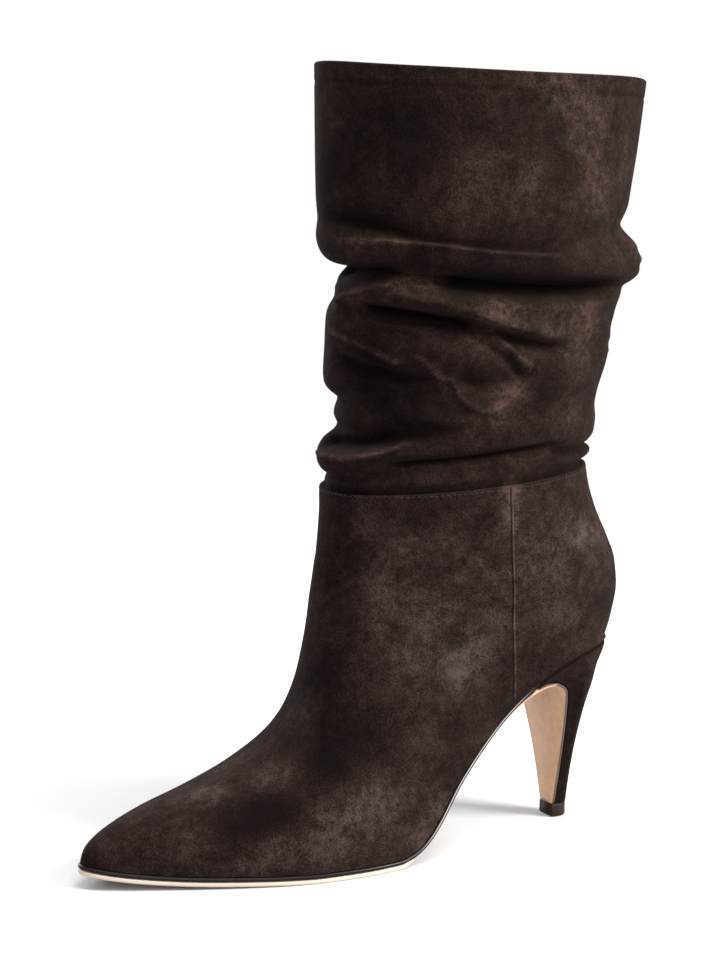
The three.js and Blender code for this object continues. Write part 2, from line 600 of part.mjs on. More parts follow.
// Rings of the heel with their heights
function heelRing(row, number) {
  const { lerp } = THREE.MathUtils;
  const seatBack = solePoint(0, 1, HEEL_MARGIN, LAYER_TOP);
  const seatFront = solePoint(HEEL_END, 1, HEEL_MARGIN, LAYER_TOP);
  const seatHalf = halfWidth(HEEL_WIDEST, 1);
  const frontX = lerp(heelTipFront, seatFront.x, row.front);
  const frontZ = lerp(heelTipZ, seatFront.z, row.frontRise);
  const backX = lerp(-TIP_LENGTH / 2, seatBack.x, row.back);
  const backZ = lerp(heelTipZ, seatBack.z, row.backRise);
  const half = lerp(TIP_WIDTH / 2, seatHalf, row.half);
  const sidePoints = (side) => ringSide(side, backX, frontX, half).map((point, i) => {
    if (number === 0) {
      return solePoint(HEEL_END * i / HEEL_SIDE_STEPS, side, HEEL_MARGIN, LAYER_TOP);
    }
    const z = lerp(backZ, frontZ, (point.x - backX) / (frontX - backX));
    return new THREE.Vector3(point.x, point.y, z);
  });
  return { outer: sidePoints(1), inner: sidePoints(-1) };
}

function heelBlock() {
  return layeredSolid(HEEL_RINGS.map(heelRing).reverse());
}

// The heel tip's wear piece, as wide and long as the tip with the outsole's flap
function topPiece() {
  const layer = (z) => {
    const side = (sign) => ringSide(sign, -TIP_LENGTH / 2, TIP_LENGTH / 2, TIP_WIDTH / 2)
      .map((point) => new THREE.Vector3(point.x, point.y, z));
    return { outer: side(1), inner: side(-1) };
  };
  return layeredSolid([layer(0), layer(TOP_PIECE_THICKNESS)]);
}

// Outsole: full width under the forefoot, drawn in under the shank, then down the heel's breast
function outsole() {
  const shank = (along) => 1 - THREE.MathUtils.smoothstep(along, SHANK_FULL, SHANK_START);
  const margin = (along) => THREE.MathUtils.lerp(OUTSOLE_MARGIN, -SHANK_INSET, shank(along));
  const thickness = (along) => THREE.MathUtils.lerp(OUTSOLE_THICKNESS, FLAP_THICKNESS, shank(along));
  const breast = HEEL_RINGS.map(heelRing).map(({ outer }) => outer[HEEL_SIDE_STEPS]);
  const layer = (share) => {
    const outer = [];
    const inner = [];
    for (let i = 0; i <= PLATE_STEPS; i += 1) {
      const angle = 1 - (1 - turn(FLAP_START)) * i / PLATE_STEPS;
      const along = unturn(angle);
      const height = LAYER_TOP - share * thickness(along);
      outer.push(solePoint(angle, 1, margin(along), height));
      inner.push(solePoint(angle, -1, margin(along), height));
    }
    for (let i = 0; i < breast.length; i += 1) {
      const before = breast[Math.max(i - 1, 0)];
      const after = breast[Math.min(i + 1, breast.length - 1)];
      const run = new THREE.Vector2(after.x - before.x, after.z - before.z).normalize();
      const away = GAP + share * FLAP_THICKNESS;
      const bottom = i === breast.length - 1;
      const x = bottom ? breast[i].x + away : breast[i].x - away * run.y;
      const z = bottom ? breast[i].z : breast[i].z + away * run.x;
      outer.push(new THREE.Vector3(x, breast[i].y, z));
      inner.push(new THREE.Vector3(x, -breast[i].y, z));
    }
    return { outer, inner };
  };
  return layeredSolid([layer(0), layer(1)]);
}

function midsole() {
  const seat = (along) => 1 - THREE.MathUtils.smoothstep(along, HEEL_FRONT, SHANK_FULL);
  const margin = (along) => THREE.MathUtils.lerp(MIDSOLE_MARGIN, HEEL_MARGIN, seat(along));
  return layeredSolid(solePlate(margin, LAYER_TOP + GAP, -GAP));
}

function insole() {
  const margin = () => -(UPPER_WALL + INSOLE_CLEARANCE);
  return layeredSolid(solePlate(margin, GAP, GAP + INSOLE_THICKNESS));
}

const boot = new THREE.Group();
boot.add(
  piece('upper', thickSheet(footGrid(FOOT_ROW_STEPS, SIDE_STEPS), UPPER_WALL), SUEDE, 0.95),
  piece('shaft', thickSheet(shaftGrid(LEG_ROW_STEPS, RING_STEPS), SHAFT_WALL), SUEDE, 0.95),
  piece('insole', insole(), LINING, 0.8),
  piece('midsole', midsole(), DARK_EDGE, 0.35),
  piece('outsole', outsole(), SOLE_LEATHER, 0.5),
  piece('heel', heelBlock(), HEEL_COVER, 0.95),
  piece('top_piece', topPiece(), HEEL_RUBBER, 0.6),
);

export default boot;
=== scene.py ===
import math

import bmesh
import bpy
import numpy as np
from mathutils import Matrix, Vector
from mathutils.bvhtree import BVHTree


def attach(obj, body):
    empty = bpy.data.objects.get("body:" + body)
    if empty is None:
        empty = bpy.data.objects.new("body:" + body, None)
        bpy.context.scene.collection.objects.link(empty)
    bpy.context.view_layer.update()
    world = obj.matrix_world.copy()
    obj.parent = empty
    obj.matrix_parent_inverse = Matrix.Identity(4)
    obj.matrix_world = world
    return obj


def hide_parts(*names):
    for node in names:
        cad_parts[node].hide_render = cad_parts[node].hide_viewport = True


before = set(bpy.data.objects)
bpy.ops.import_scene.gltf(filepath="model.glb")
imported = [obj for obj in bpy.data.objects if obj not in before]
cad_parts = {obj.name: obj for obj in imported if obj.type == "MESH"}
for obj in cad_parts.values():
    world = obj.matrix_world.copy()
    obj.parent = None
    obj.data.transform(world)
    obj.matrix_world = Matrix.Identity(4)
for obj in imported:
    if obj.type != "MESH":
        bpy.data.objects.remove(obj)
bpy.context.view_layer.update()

MM = 0.001

# Sizes of the last, in millimetres, as in the model
SOLE_LENGTH = 232
SEAT_BACK = 20
BALL_WIDTH = 77
TOE_SWING = 3
SWING_START = 0.47
HEEL_RISE = 73.3
TOE_SPRING = 5.6
ANKLE_RISE = 73.8
ANKLE_DROP = 4.7
ANKLE_LENGTH = 115.5
ANKLE_WIDTH = 75
RIDGE_OFFSET = 4
RIDGE_FADE = 6
FEATHER_BULGE = 1.01

# Shaft
SHAFT_HEIGHT = 152.5
COLLAR_LENGTH = 143
COLLAR_WIDTH = 92
FOLD_DEPTH = 10
TUCK = 7
RELEASE_START = 1.6
ROLL_PLACE = 2.2
ROLL_REACH = 2
HANG_PLACE = 0.8

# Walls and layers
UPPER_WALL = 1.6
MIDSOLE_THICKNESS = 1.6
OUTSOLE_THICKNESS = 1.7
FLAP_THICKNESS = 1.2
GAP = 0.3
TUCK_GAP = 0.45
MIDSOLE_MARGIN = 0.7
OUTSOLE_MARGIN = 0.4
SHANK_INSET = 3.5
SHANK_START = 0.49
SHANK_FULL = 0.43

# Heel
TIP_LENGTH = 8.6
TIP_WIDTH = 10.4
TOP_PIECE_THICKNESS = 5.5
HEEL_MARGIN = -0.6
HEEL_FRONT = 0.198
FLAP_START = 0.215
HEEL_WIDEST = 0.17
HEEL_STRAIGHT = 0.35
HEEL_BEND_SHARE = 0.67
BREAST_NARROWING = 0.06

SOLE_STACK = MIDSOLE_THICKNESS + OUTSOLE_THICKNESS + 2 * GAP
SEAT_Z = SOLE_STACK + HEEL_RISE
ANKLE_BACK_Z = SEAT_Z + ANKLE_RISE
ANKLE_FRONT_Z = ANKLE_BACK_Z - ANKLE_DROP
LAYER_TOP = -(2 * GAP + MIDSOLE_THICKNESS)

# Fineness of the meshes
FOOT_ROWS = 210
FOOT_COLUMNS = 190
RING_COLUMNS = 300
LEG_ROWS = (30, 34, 32, 56, 44, 36, 72)
LINING_STEP = 2                   # columns of the shaft's outside for one of its lining
PLATE_STEPS = 150
EDGE_STEPS = 15
HEEL_ROWS = 48
HEEL_SIDE_STEPS = 28
TIP_SIDE_STEPS = 24
BREAST_STEPS = 60
BREAST_FINE_STEPS = 400
WELD_DISTANCE = 0.02
SLOPE_STEP = 0.004                # of the turn or of the sole's length, to read a slope


def table(names, *rows):
    return [dict(zip(names.split(), row)) for row in rows]


def curve(rows, source, target):
    """Monotone cubic through a short table."""
    x = np.array([row[source] for row in rows], float)
    y = np.array([row[target] for row in rows], float)
    slope = np.diff(y) / np.diff(x)
    tangent = np.concatenate([slope[:1], slope[:1], slope[1:]])[:len(y)]
    before, after = slope[:-1], slope[1:]
    same = before * after > 0
    mean = 2 / (1 / np.where(same, before, 1) + 1 / np.where(same, after, 1))
    tangent[1:-1] = np.where(same, mean, 0)
    tangent[-1] = slope[-1]

    def read(at):
        at = np.clip(at, x[0], x[-1])
        i = np.clip(np.searchsorted(x, at) - 1, 0, len(x) - 2)
        width = x[i + 1] - x[i]
        t = (at - x[i]) / width
        spread = (1 - t) ** 2 * (1 + 2 * t) * y[i] + t * t * (3 - 2 * t) * y[i + 1]
        return spread + width * t * (1 - t) * ((1 - t) * tangent[i] - t * tangent[i + 1])

    return read


def curves(rows, source):
    """A curve through each of a table's other columns, by its name."""
    return {name: curve(rows, source, name) for name in rows[0] if name != source}


def compass(values):
    """Smooth closed curve through values at equal angles, the first in front, then by the outer side."""
    values = np.array(values, float)

    def read(angle):
        place = np.asarray(angle) / (2 * math.pi) % 1 * len(values)
        i = np.floor(place).astype(int)
        t = place - i
        a, b, c, d = (values[(i + k) % len(values)] for k in (-1, 0, 1, 2))
        return b + 0.5 * t * (c - a + t * (2 * a - 5 * b + 4 * c - d + t * (3 * (b - c) + d - a)))

    return read


def smoothstep(x, low, high):
    t = np.clip((np.asarray(x, float) - low) / (high - low), 0, 1)
    return t * t * (3 - 2 * t)


def lerp(a, b, t):
    return a + (b - a) * t


def bell(value, reach):
    return np.exp(-(value / reach) ** 2)


def rise_and_fall(value, start, full, fade, end):
    return smoothstep(value, start, full) * (1 - smoothstep(value, fade, end))


def unit(vectors):
    return vectors / (np.linalg.norm(vectors, axis=-1, keepdims=True) + 1e-12)


# Plan of the feather line: half widths as shares of the ball width, along the sole's length
PLAN = table(
    "along outer inner",
    (0, 0, 0), (0.026, 0.201, 0.201), (0.065, 0.292, 0.292), (0.121, 0.344, 0.338), (0.190, 0.351, 0.331),
    (0.267, 0.344, 0.305), (0.345, 0.364, 0.318), (0.422, 0.422, 0.403), (0.491, 0.468, 0.481),
    (0.560, 0.487, 0.513), (0.625, 0.481, 0.513), (0.690, 0.448, 0.481), (0.754, 0.390, 0.422),
    (0.819, 0.318, 0.344), (0.879, 0.240, 0.260), (0.931, 0.169, 0.182), (0.970, 0.104, 0.110),
    (0.991, 0.055, 0.057), (1, 0, 0),
)

# Rise of the feather line: behind the ball as a share of the heel's rise
SHANK_PROFILE = table(
    "along rise",
    (0, 1), (0.043, 0.995), (0.090, 0.973), (0.130, 0.934), (0.172, 0.875), (0.211, 0.797), (0.250, 0.700),
    (0.310, 0.515), (0.358, 0.345), (0.401, 0.170), (0.427, 0.084), (0.448, 0.038), (0.470, 0.011),
    (0.492, 0), (0.640, 0),
)

# In front of the ball as a share of the toe spring
TOE_PROFILE = table(
    "along rise",
    (0.492, 0), (0.640, 0), (0.707, 0.055), (0.772, 0.125), (0.836, 0.220), (0.892, 0.375), (0.953, 0.660),
    (1, 1),
)


def turn(along):
    return np.arccos(np.clip(1 - 2 * np.asarray(along, float), -1, 1)) / math.pi


def unturn(angle):
    return (1 - np.cos(math.pi * np.asarray(angle, float))) / 2


plan_rows = [dict(row, angle=float(turn(row["along"]))) for row in PLAN]
outer_plan = curve(plan_rows, "angle", "outer")
inner_plan = curve(plan_rows, "angle", "inner")
shank_rise = curve(SHANK_PROFILE, "along", "rise")
toe_rise = curve(TOE_PROFILE, "along", "rise")


def along_x(along):
    return along * SOLE_LENGTH - SEAT_BACK


def along_at(x):
    return (x + SEAT_BACK) / SOLE_LENGTH


def feather_z(along):
    return SOLE_STACK + HEEL_RISE * shank_rise(along) + TOE_SPRING * toe_rise(along)


def feather_slope(along):
    return (feather_z(along + SLOPE_STEP) - feather_z(along - SLOPE_STEP)) / (2 * SLOPE_STEP * SOLE_LENGTH)


def axis_y(along):
    return -TOE_SWING * smoothstep(along, SWING_START, 1)


def half_width(along, side):
    angle = turn(along)
    return BALL_WIDTH * np.where(np.asarray(side) > 0, outer_plan(angle), inner_plan(angle))


def sole_point(angle, side, margin, height):
    """A point of a sole layer: height above the feather surface, margin outside the feather line."""
    def place(value):
        mirrored = np.abs(value)
        folded = np.where(mirrored > 1, 2 - mirrored, mirrored)
        flip = np.where((value < 0) | (value > 1), -1, 1)
        along = unturn(folded)
        return np.stack([along_x(along), axis_y(along) + flip * side * half_width(along, side)], -1)

    angle = np.asarray(angle, float)
    tangent = unit(place(angle + SLOPE_STEP) - place(angle - SLOPE_STEP))
    outline = place(angle)
    is_end = (angle <= 0) | (angle >= 1)
    normal_x = np.where(is_end, np.where(angle <= 0, -1, 1), -tangent[..., 1] * side)
    normal_y = np.where(is_end, 0, tangent[..., 0] * side)
    x = outline[..., 0] + margin * normal_x
    y = outline[..., 1] + margin * normal_y
    along = along_at(x)
    slope = feather_slope(along)
    lean = 1 / np.hypot(1, slope)
    return np.stack([x - height * slope * lean, y, feather_z(along) + height * lean], -1)


# Sections of the foot part, toe first: base and top as shares of the sole's length, rise as a share of
# the front ankle height, outer and inner as shares of the ball width
FOOT_SECTIONS = table(
    "base top rise outer inner belly round",
    (1, 0.996, 0.089, 0, 0, 0.35, 2),
    (0.989, 0.984, 0.11, 0.065, 0.068, 0.35, 2),
    (0.966, 0.959, 0.134, 0.121, 0.127, 0.33, 2.05),
    (0.922, 0.918, 0.161, 0.188, 0.201, 0.32, 2),
    (0.862, 0.86, 0.189, 0.279, 0.299, 0.3, 1.95),
    (0.789, 0.784, 0.22, 0.368, 0.396, 0.3, 1.9),
    (0.711, 0.712, 0.26, 0.448, 0.481, 0.3, 1.86),
    (0.638, 0.653, 0.312, 0.494, 0.526, 0.3, 1.84),
    (0.569, 0.61, 0.373, 0.506, 0.532, 0.3, 1.84),
    (0.504, 0.588, 0.438, 0.494, 0.519, 0.31, 1.85),
    (0.444, 0.579, 0.506, 0.461, 0.474, 0.32, 1.86),
    (0.375, 0.574, 0.574, 0.429, 0.429, 0.35, 1.87),
    (0.297, 0.569, 0.645, 0.409, 0.403, 0.38, 1.88),
    (0.211, 0.565, 0.711, 0.41, 0.402, 0.41, 1.9),
    (0.121, 0.561, 0.761, 0.415, 0.408, 0.43, 1.93),
    (0.052, 0.559, 0.793, 0.421, 0.415, 0.44, 1.95),
    (0.017, 0.558, 0.81, 0.425, 0.42, 0.45, 1.96),
    (0, 0.557, 0.824, 0.428, 0.424, 0.45, 1.97),
)

# Up the back of the leg: back and front as shares of the ankle opening, lift of the ankle's rise
LEG_SECTIONS = table(
    "back lift front rise outer inner belly round",
    (0.027, 0.133, 0.013, 0.85, 0.455, 0.45, 0.46, 1.98),
    (0.044, 0.275, 0.01, 0.876, 0.459, 0.457, 0.47, 2),
    (0.034, 0.424, 0.008, 0.902, 0.464, 0.463, 0.48, 2),
    (-0.004, 0.573, 0.005, 0.927, 0.47, 0.47, 0.49, 2),
    (-0.053, 0.729, 0.003, 0.95, 0.477, 0.477, 0.49, 2),
    (-0.086, 0.878, 0.002, 0.979, 0.486, 0.486, 0.5, 2),
    (-0.103, 1, 0, 1, 0.495, 0.495, 0.5, 2),
)

ANKLE_BACK_X = -SEAT_BACK - ANKLE_LENGTH * LEG_SECTIONS[-1]["back"]
ANKLE_FRONT_X = ANKLE_BACK_X + ANKLE_LENGTH
HEEL_SECTION = len(FOOT_SECTIONS) - 1


def section_rows():
    """Every section in millimetres, numbered from the toe."""
    rows = [{
        "turned": float(turn(row["base"])), "base_x": along_x(row["base"]),
        "base_z": float(feather_z(row["base"])), "top_x": along_x(row["top"]),
    } for row in FOOT_SECTIONS]
    rows += [{
        "turned": 0, "base_x": -SEAT_BACK - ANKLE_LENGTH * row["back"],
        "base_z": SEAT_Z + ANKLE_RISE * row["lift"], "top_x": ANKLE_FRONT_X + ANKLE_LENGTH * row["front"],
    } for row in LEG_SECTIONS]
    for number, (row, given) in enumerate(zip(rows, FOOT_SECTIONS + LEG_SECTIONS)):
        width = BALL_WIDTH if number <= HEEL_SECTION else ANKLE_WIDTH
        row.update({
            "number": number, "top_z": ANKLE_FRONT_Z * given["rise"], "outer": width * given["outer"],
            "inner": width * given["inner"], "belly": given["belly"], "round": given["round"],
        })
    return rows


sections = section_rows()
LAST_SECTION = len(sections) - 1
section_curve = curves(sections, "number")


def foot_point(section, around):
    """Outside of the foot part. around: -1 outer base, 0 ridge, 1 inner base."""
    section, around = np.broadcast_arrays(np.asarray(section, float), np.asarray(around, float))
    side = np.where(around <= 0, 1, -1)
    on_feather = section <= HEEL_SECTION
    along = unturn(section_curve["turned"](section))
    base_x = np.where(on_feather, along_x(along), section_curve["base_x"](section))
    base_z = np.where(on_feather, feather_z(along), section_curve["base_z"](section))
    feather = np.where(on_feather, half_width(along, side), 0)
    table_half = np.where(side > 0, section_curve["outer"](section), section_curve["inner"](section))
    widest = np.maximum(table_half, feather * FEATHER_BULGE)
    belly = section_curve["belly"](section)
    power = 2 / section_curve["round"](section)
    angle = math.pi * (1 - np.abs(around))
    over = np.clip(angle - math.pi / 2, 0, math.pi / 2)
    low = angle <= math.pi / 2
    height = np.where(low, belly * (1 - np.cos(angle)), belly + (1 - belly) * np.sin(over) ** power)
    low_half = np.hypot(feather, np.sqrt(np.maximum(widest ** 2 - feather ** 2, 0)) * np.sin(angle))
    half = np.where(low, low_half, widest * np.maximum(np.cos(over), 0) ** power)
    half = np.where(around == 0, 0, half)
    ridge = RIDGE_OFFSET * smoothstep(section, 0, RIDGE_FADE)
    ridge = ridge * (1 - smoothstep(section, HEEL_SECTION - RIDGE_FADE, LAST_SECTION))
    middle = axis_y(along) - ridge * height
    return np.stack([
        lerp(base_x, section_curve["top_x"](section), height),
        middle + side * half,
        lerp(base_z, section_curve["top_z"](section), height),
    ], -1)


# Slouch folds, from the ankle up, as in the model: eight values from the front by the outer side
FOLDS = table(
    "at depth lip below above drop",
    ([0.007, 0.043, 0.062, 0.066, 0.072, 0.069, 0.059, 0.033],
     [0.4, 0.45, 0.45, 0.2, 0.05, 0.3, 0.4, 0.4],
     [0.28, 0.3, 0.15, 0.1, 0.2, 0.1, 0.15, 0.15], 0.5, 0.3, 0.15),
    ([0.132, 0.134, 0.157, 0.170, 0.164, 0.157, 0.151, 0.136],
     [0.5, 0.45, 0.05, 0, 0.1, 0.3, 0.35, 0.25],
     [0.1, 0.1, 0.1, 0, 0, 0.1, 0.1, 0.1], 0.5, 0.35, 0.1),
    ([0.194, 0.222, 0.256, 0.269, 0.262, 0.256, 0.249, 0.210],
     [0.6, 0.3, 0, 0, 0.1, 0.2, 0.1, 0.35],
     [0.1, 0, 0, 0, 0, 0.1, 0, 0.1], 0.7, 0.4, 0),
    ([0.446, 0.446, 0.367, 0.321, 0.341, 0.400, 0.439, 0.452],
     [0.05, 0.55, 0.15, 0.1, 0.25, 0.4, 0.35, 0.15],
     [0, 0.2, 0.1, 0, 0, 0.15, 0.15, 0.05], 0.7, 0.3, 0.2),
    ([0.552, 0.546, 0.511, 0.490, 0.468, 0.493, 0.521, 0.549],
     [0.95, 0.7, 0.9, 0.4, 0.2, 0.6, 0.9, 0.8],
     [0.15, 0.2, 0.3, 0.5, 0.95, 0.55, 0.3, 0.2], 0.7, 0.35, 0.35),
    ([0.662, 0.620, 0.593, 0.616, 0.646, 0.623, 0.610, 0.643],
     [0.05, 0.12, 0.15, 0.25, 0.3, 0.2, 0.15, 0.1],
     [0, 0, 0, 0, 0, 0, 0, 0], 0.5, 0.5, 0),
)
COLLAR_AT = [1.062, 1.059, 1.038, 1.016, 0.997, 1, 1.013, 1.039]

# Unfolded shaft: front and back set in from the collar's ends, half as a share of the collar's width
SHAFT_PROFILE = table(
    "height front back half",
    (-0.031, 0.007, 0.176, 0.405), (0.09, 0.022, 0.173, 0.422), (0.19, 0.037, 0.155, 0.436),
    (0.32, 0.028, 0.104, 0.45), (0.41, 0.031, 0.1, 0.461), (0.53, 0.036, 0.072, 0.478),
    (0.66, 0.007, 0.065, 0.489), (0.83, 0.002, 0.036, 0.494), (1.07, 0, 0, 0.5),
)

COLLAR_FRONT_X = ANKLE_FRONT_X + COLLAR_LENGTH * SHAFT_PROFILE[0]["front"]
shaft_curve = curves(SHAFT_PROFILE, "height")
collar_at = compass(COLLAR_AT)
folds = [{
    "at": compass(fold["at"]), "depth": compass(fold["depth"]), "lip": compass(fold["lip"]),
    "below": FOLD_DEPTH * fold["below"], "above": FOLD_DEPTH * fold["above"],
    "drop": FOLD_DEPTH * fold["drop"],
} for fold in FOLDS]


def shaft_z(share):
    return ANKLE_BACK_Z + SHAFT_HEIGHT * share


def leg_oval(share):
    """The unfolded leg's front, back and half width at a share of the shaft's height."""
    front = COLLAR_FRONT_X - COLLAR_LENGTH * shaft_curve["front"](share)
    back = COLLAR_FRONT_X - COLLAR_LENGTH * (1 - shaft_curve["back"](share))
    return front, back, COLLAR_WIDTH * shaft_curve["half"](share)


def wrap(angle):
    return np.arctan2(np.sin(angle), np.cos(angle))


def level_z(level, angle):
    """Height before folding: whole levels lie on the ankle edge, on each fold line and on the collar."""
    lines = [foot_point(LAST_SECTION, -wrap(angle) / math.pi)[..., 2]]
    lines += [shaft_z(fold["at"](angle)) for fold in folds]
    lines += [shaft_z(collar_at(angle))]
    lines = np.stack(lines)
    i = np.clip(np.floor(level).astype(int), 0, len(lines) - 2)
    low = np.take_along_axis(lines, i[None], 0)[0]
    high = np.take_along_axis(lines, i[None] + 1, 0)[0]
    return lerp(low, high, level - i)


def tuck_point(above, angle):
    """The shaft's end inside the ankle opening."""
    step = 0.03

    def ring(section, turned):
        return foot_point(section, -wrap(turned) / math.pi)

    edge = ring(LAST_SECTION, angle)
    down = ring(LAST_SECTION - 1, angle) - edge
    side = ring(LAST_SECTION, angle - step) - ring(LAST_SECTION, angle + step)
    outward = np.cross(side, down)
    outward[..., 2] = 0
    climb = down / down[..., 2:]
    return edge + climb * np.asarray(above)[..., None] - unit(outward) * (UPPER_WALL + TUCK_GAP)


def shaft_point(level, angle):
    """Outside of the shaft, as in the model. level below 0 is in millimetres under the ankle edge."""
    level, angle = np.broadcast_arrays(np.asarray(level, float), np.asarray(angle, float))
    z = level_z(np.maximum(level, 0), angle)
    edge = level_z(np.zeros_like(level), angle)
    front, back, half = leg_oval((z - ANKLE_BACK_Z) / SHAFT_HEIGHT)
    reach_x = (front - back) / 2
    outward = unit(np.stack([half * np.cos(angle), reach_x * np.sin(angle)], -1))
    push = np.zeros_like(z)
    fall = np.zeros_like(z)
    for fold in folds:
        over = z - shaft_z(fold["at"](angle))
        reach = np.where(over < 0, fold["below"], fold["above"])
        roll = bell(over - ROLL_PLACE * fold["above"], ROLL_REACH * fold["above"])
        hang = bell(over - HANG_PLACE * fold["above"], fold["above"])
        push += FOLD_DEPTH * fold["lip"](angle) * roll
        push -= FOLD_DEPTH * fold["depth"](angle) * bell(over, reach)
        fall += fold["drop"] * hang * np.minimum(1, 2 * fold["depth"](angle))
    free = np.stack([
        (front + back) / 2 + reach_x * np.cos(angle) + push * outward[..., 0],
        half * np.sin(angle) + push * outward[..., 1],
        z - fall,
    ], -1)
    release = smoothstep(z - edge, RELEASE_START, TUCK)[..., None]
    above = np.where(level < 0, level, z - edge)
    return lerp(tuck_point(above, angle), free, np.where(level[..., None] < 0, 0, release))


# Fine creases of the shaft. at: degrees from the front by the outer side, and the height there;
# depth: millimetres outwards; below and above: reach under and over the line; ends: degrees over
# which it dies away; tone: painted shade in the hollow where below 0, painted highlight where above 0
CREASES = table(
    "at depth below above ends tone",
    # The top roll and the dent over it
    (((8, 253.8), (26, 252.4), (42, 249)), -4.2, 2.2, 3.6, 11, -0.55),
    (((2, 245.5), (20, 245.5), (38, 246)), 0.5, 1.6, 1.6, 8, 0.4),
    (((36, 246), (56, 244.3), (73, 241.6), (96, 239.4)), 1.2, 1.5, 0.45, 10, 0.45),
    (((36, 247), (56, 245.3), (73, 242.6), (96, 240.4)), -1.0, 0.8, 2.5, 10, -0.1),
    # Pocket, ridge and hollows under the top roll
    (((58, 230.2), (75, 229.4), (87, 228.2), (104, 226.9), (130, 225.4)), -8.4, 4.4, 2.4, 9, -1.1),
    (((60, 225), (79, 221.4), (92, 219.8), (110, 219.2), (130, 219.4)), 2, 2.6, 1.8, 12, 0.12),
    (((4, 221.5), (22, 226.4), (31, 228.9), (42, 232.2)), 3.4, 2.0, 1.9, 7, 0.35),
    (((-24, 230.5), (-4, 231.8), (20, 233.8), (34, 235.2)), -6, 3.0, 2.2, 7, -0.8),
    (((-70, 221), (-30, 223), (-8, 221.5)), -3, 4.5, 5, 12, -0.1),
    # Ridge across the side, and the pocket under it with its tail
    (((36, 224.6), (51, 222.4), (63, 219.6), (75, 215.2), (87, 211), (101, 206.8)), 2.6, 2.4, 3.2, 10, 0.2),
    (((20, 219.2), (32, 218.2), (43, 216.8), (54, 215.6), (64, 214.4)), -7.5, 2.2, 1.9, 6, -1.0),
    (((22, 214.6), (36, 213.6), (50, 211.4)), 1.8, 2.0, 1.2, 8, 0.1),
    (((62, 214.8), (74, 211.9), (84, 208.5), (95, 205), (104, 203)), -3.4, 2.6, 2, 9, -0.5),
    # Light and slanted creases in front and behind
    (((0, 209), (14, 206.6), (26, 203.6), (38, 199)), 2.0, 0.9, 1.0, 7, 0.9),
    (((8, 198.5), (30, 195.6), (44, 192.8)), -4.6, 3.2, 2.4, 10, -0.35),
    (((48, 201.5), (53, 197.4), (57.5, 192.8)), 1.5, 1.0, 1.1, 3, 0.8),
    (((77, 210.5), (83, 204.8), (87, 200.6), (91, 197)), 1.5, 1.0, 1.2, 5, 0.5),
    (((73, 207), (82, 200), (91, 192)), -2, 2.4, 2.2, 7, -0.25),
    # Arc on the side, and the swells round it
    (((62, 192), (67, 184.3), (72, 180.7), (78, 179.3), (84, 182), (91, 188.6)), 1.5, 0.8, 1.3, 5, 0.3),
    (((66, 192), (75, 189), (86, 193)), -2.4, 3, 4, 8, -0.15),
    (((50, 206), (66, 200), (82, 196)), 1.5, 6, 6, 16, 0),
    (((52, 176), (76, 172.5), (104, 172)), 2.4, 4.0, 4, 18, 0),
    # Pockets and rims of the low roll over the ankle
    (((-8, 164.6), (11, 165.3), (24, 166.4), (36, 168.6)), -5.5, 1.6, 2.8, 8, -0.8),
    (((-8, 161.4), (15, 161.2), (27, 162.4), (37, 164.5), (45, 167.4)), 2.8, 1.2, 0.9, 7, 0.8),
    (((44, 159.8), (57, 160.6), (74, 161.3), (91, 162.6), (112, 163.6)), -4.6, 1.4, 1.7, 9, -0.6),
    (((40, 156.5), (60, 157.3), (90, 158.8), (120, 159.5)), 1.6, 1.5, 1.3, 12, 0.1),
    # Rolls and tucks at the back edge
    (((100, 165), (124, 163.5), (150, 163), (185, 163.5)), 0.7, 2, 2.4, 14, 0),
    (((116, 159.6), (140, 158.8), (190, 158.8)), -2.2, 1, 1.5, 7, -0.3),
    (((120, 155), (150, 154.4), (190, 155)), 3.6, 1.7, 2.2, 14, 0),
    (((136, 239.4), (160, 239), (186, 240.5)), 2.3, 2.4, 4.6, 14, 0),
    (((136, 230.5), (160, 230.5), (186, 231.5)), -1.6, 2.4, 2.2, 14, 0),
    (((138, 220.5), (156, 220), (182, 220.5)), 2.4, 5, 3.2, 12, 0),
    # Inner side and back
    (((-52, 227), (-70, 226), (-100, 229)), 1.6, 1.8, 2, 12, 0.1),
    (((-56, 223), (-76, 222), (-104, 224)), -4.5, 2.4, 3, 12, -0.6),
    (((-35, 205), (-62, 201), (-98, 206)), -3.6, 3.2, 3, 14, -0.3),
    (((-40, 213), (-70, 209.5), (-105, 214)), 2, 2.6, 2.2, 16, 0.1),
    (((-84, 178), (-72, 188), (-58, 196)), 1.5, 1.0, 1.2, 8, 0.3),
    (((-30, 169), (-64, 172), (-100, 170)), -4, 2.4, 2.6, 14, -0.5),
    (((-50, 163.5), (-80, 165.5), (-112, 164)), 2, 2, 2, 14, 0.1),
    (((156, 238), (176, 236), (200, 238)), -0.5, 1.2, 1.8, 16, -0.1),
    (((156, 206), (184, 209), (216, 205)), -2, 4, 4, 18, -0.1),
    (((164, 196), (184, 188), (204, 182)), 1.3, 1.4, 1.4, 10, 0.2),
    (((-40, 246), (-70, 243.5), (-100, 245)), 1.1, 1.5, 0.6, 14, 0.2),
)


def crease_sum(angle, z, what):
    """The creases' depths, or their tones of painted shade and painted highlight, summed at places on the
    shaft.
    """
    degrees = np.degrees(angle)
    total = np.zeros_like(z)
    for crease in CREASES:
        rows = [{"x": bend, "y": height} for bend, height in sorted(crease["at"])]
        start, end = rows[0]["x"], rows[-1]["x"]
        middle = (start + end) / 2
        near = middle + (degrees - middle + 180) % 360 - 180
        over = z - curve(rows, "x", "y")(near)
        reach = np.where(over < 0, crease["below"], crease["above"])
        ends = crease["ends"]
        window = rise_and_fall(near, start - ends, start + ends / 2, end - ends / 2, end + ends)
        total += crease[what] * bell(over, reach) * window
    return total


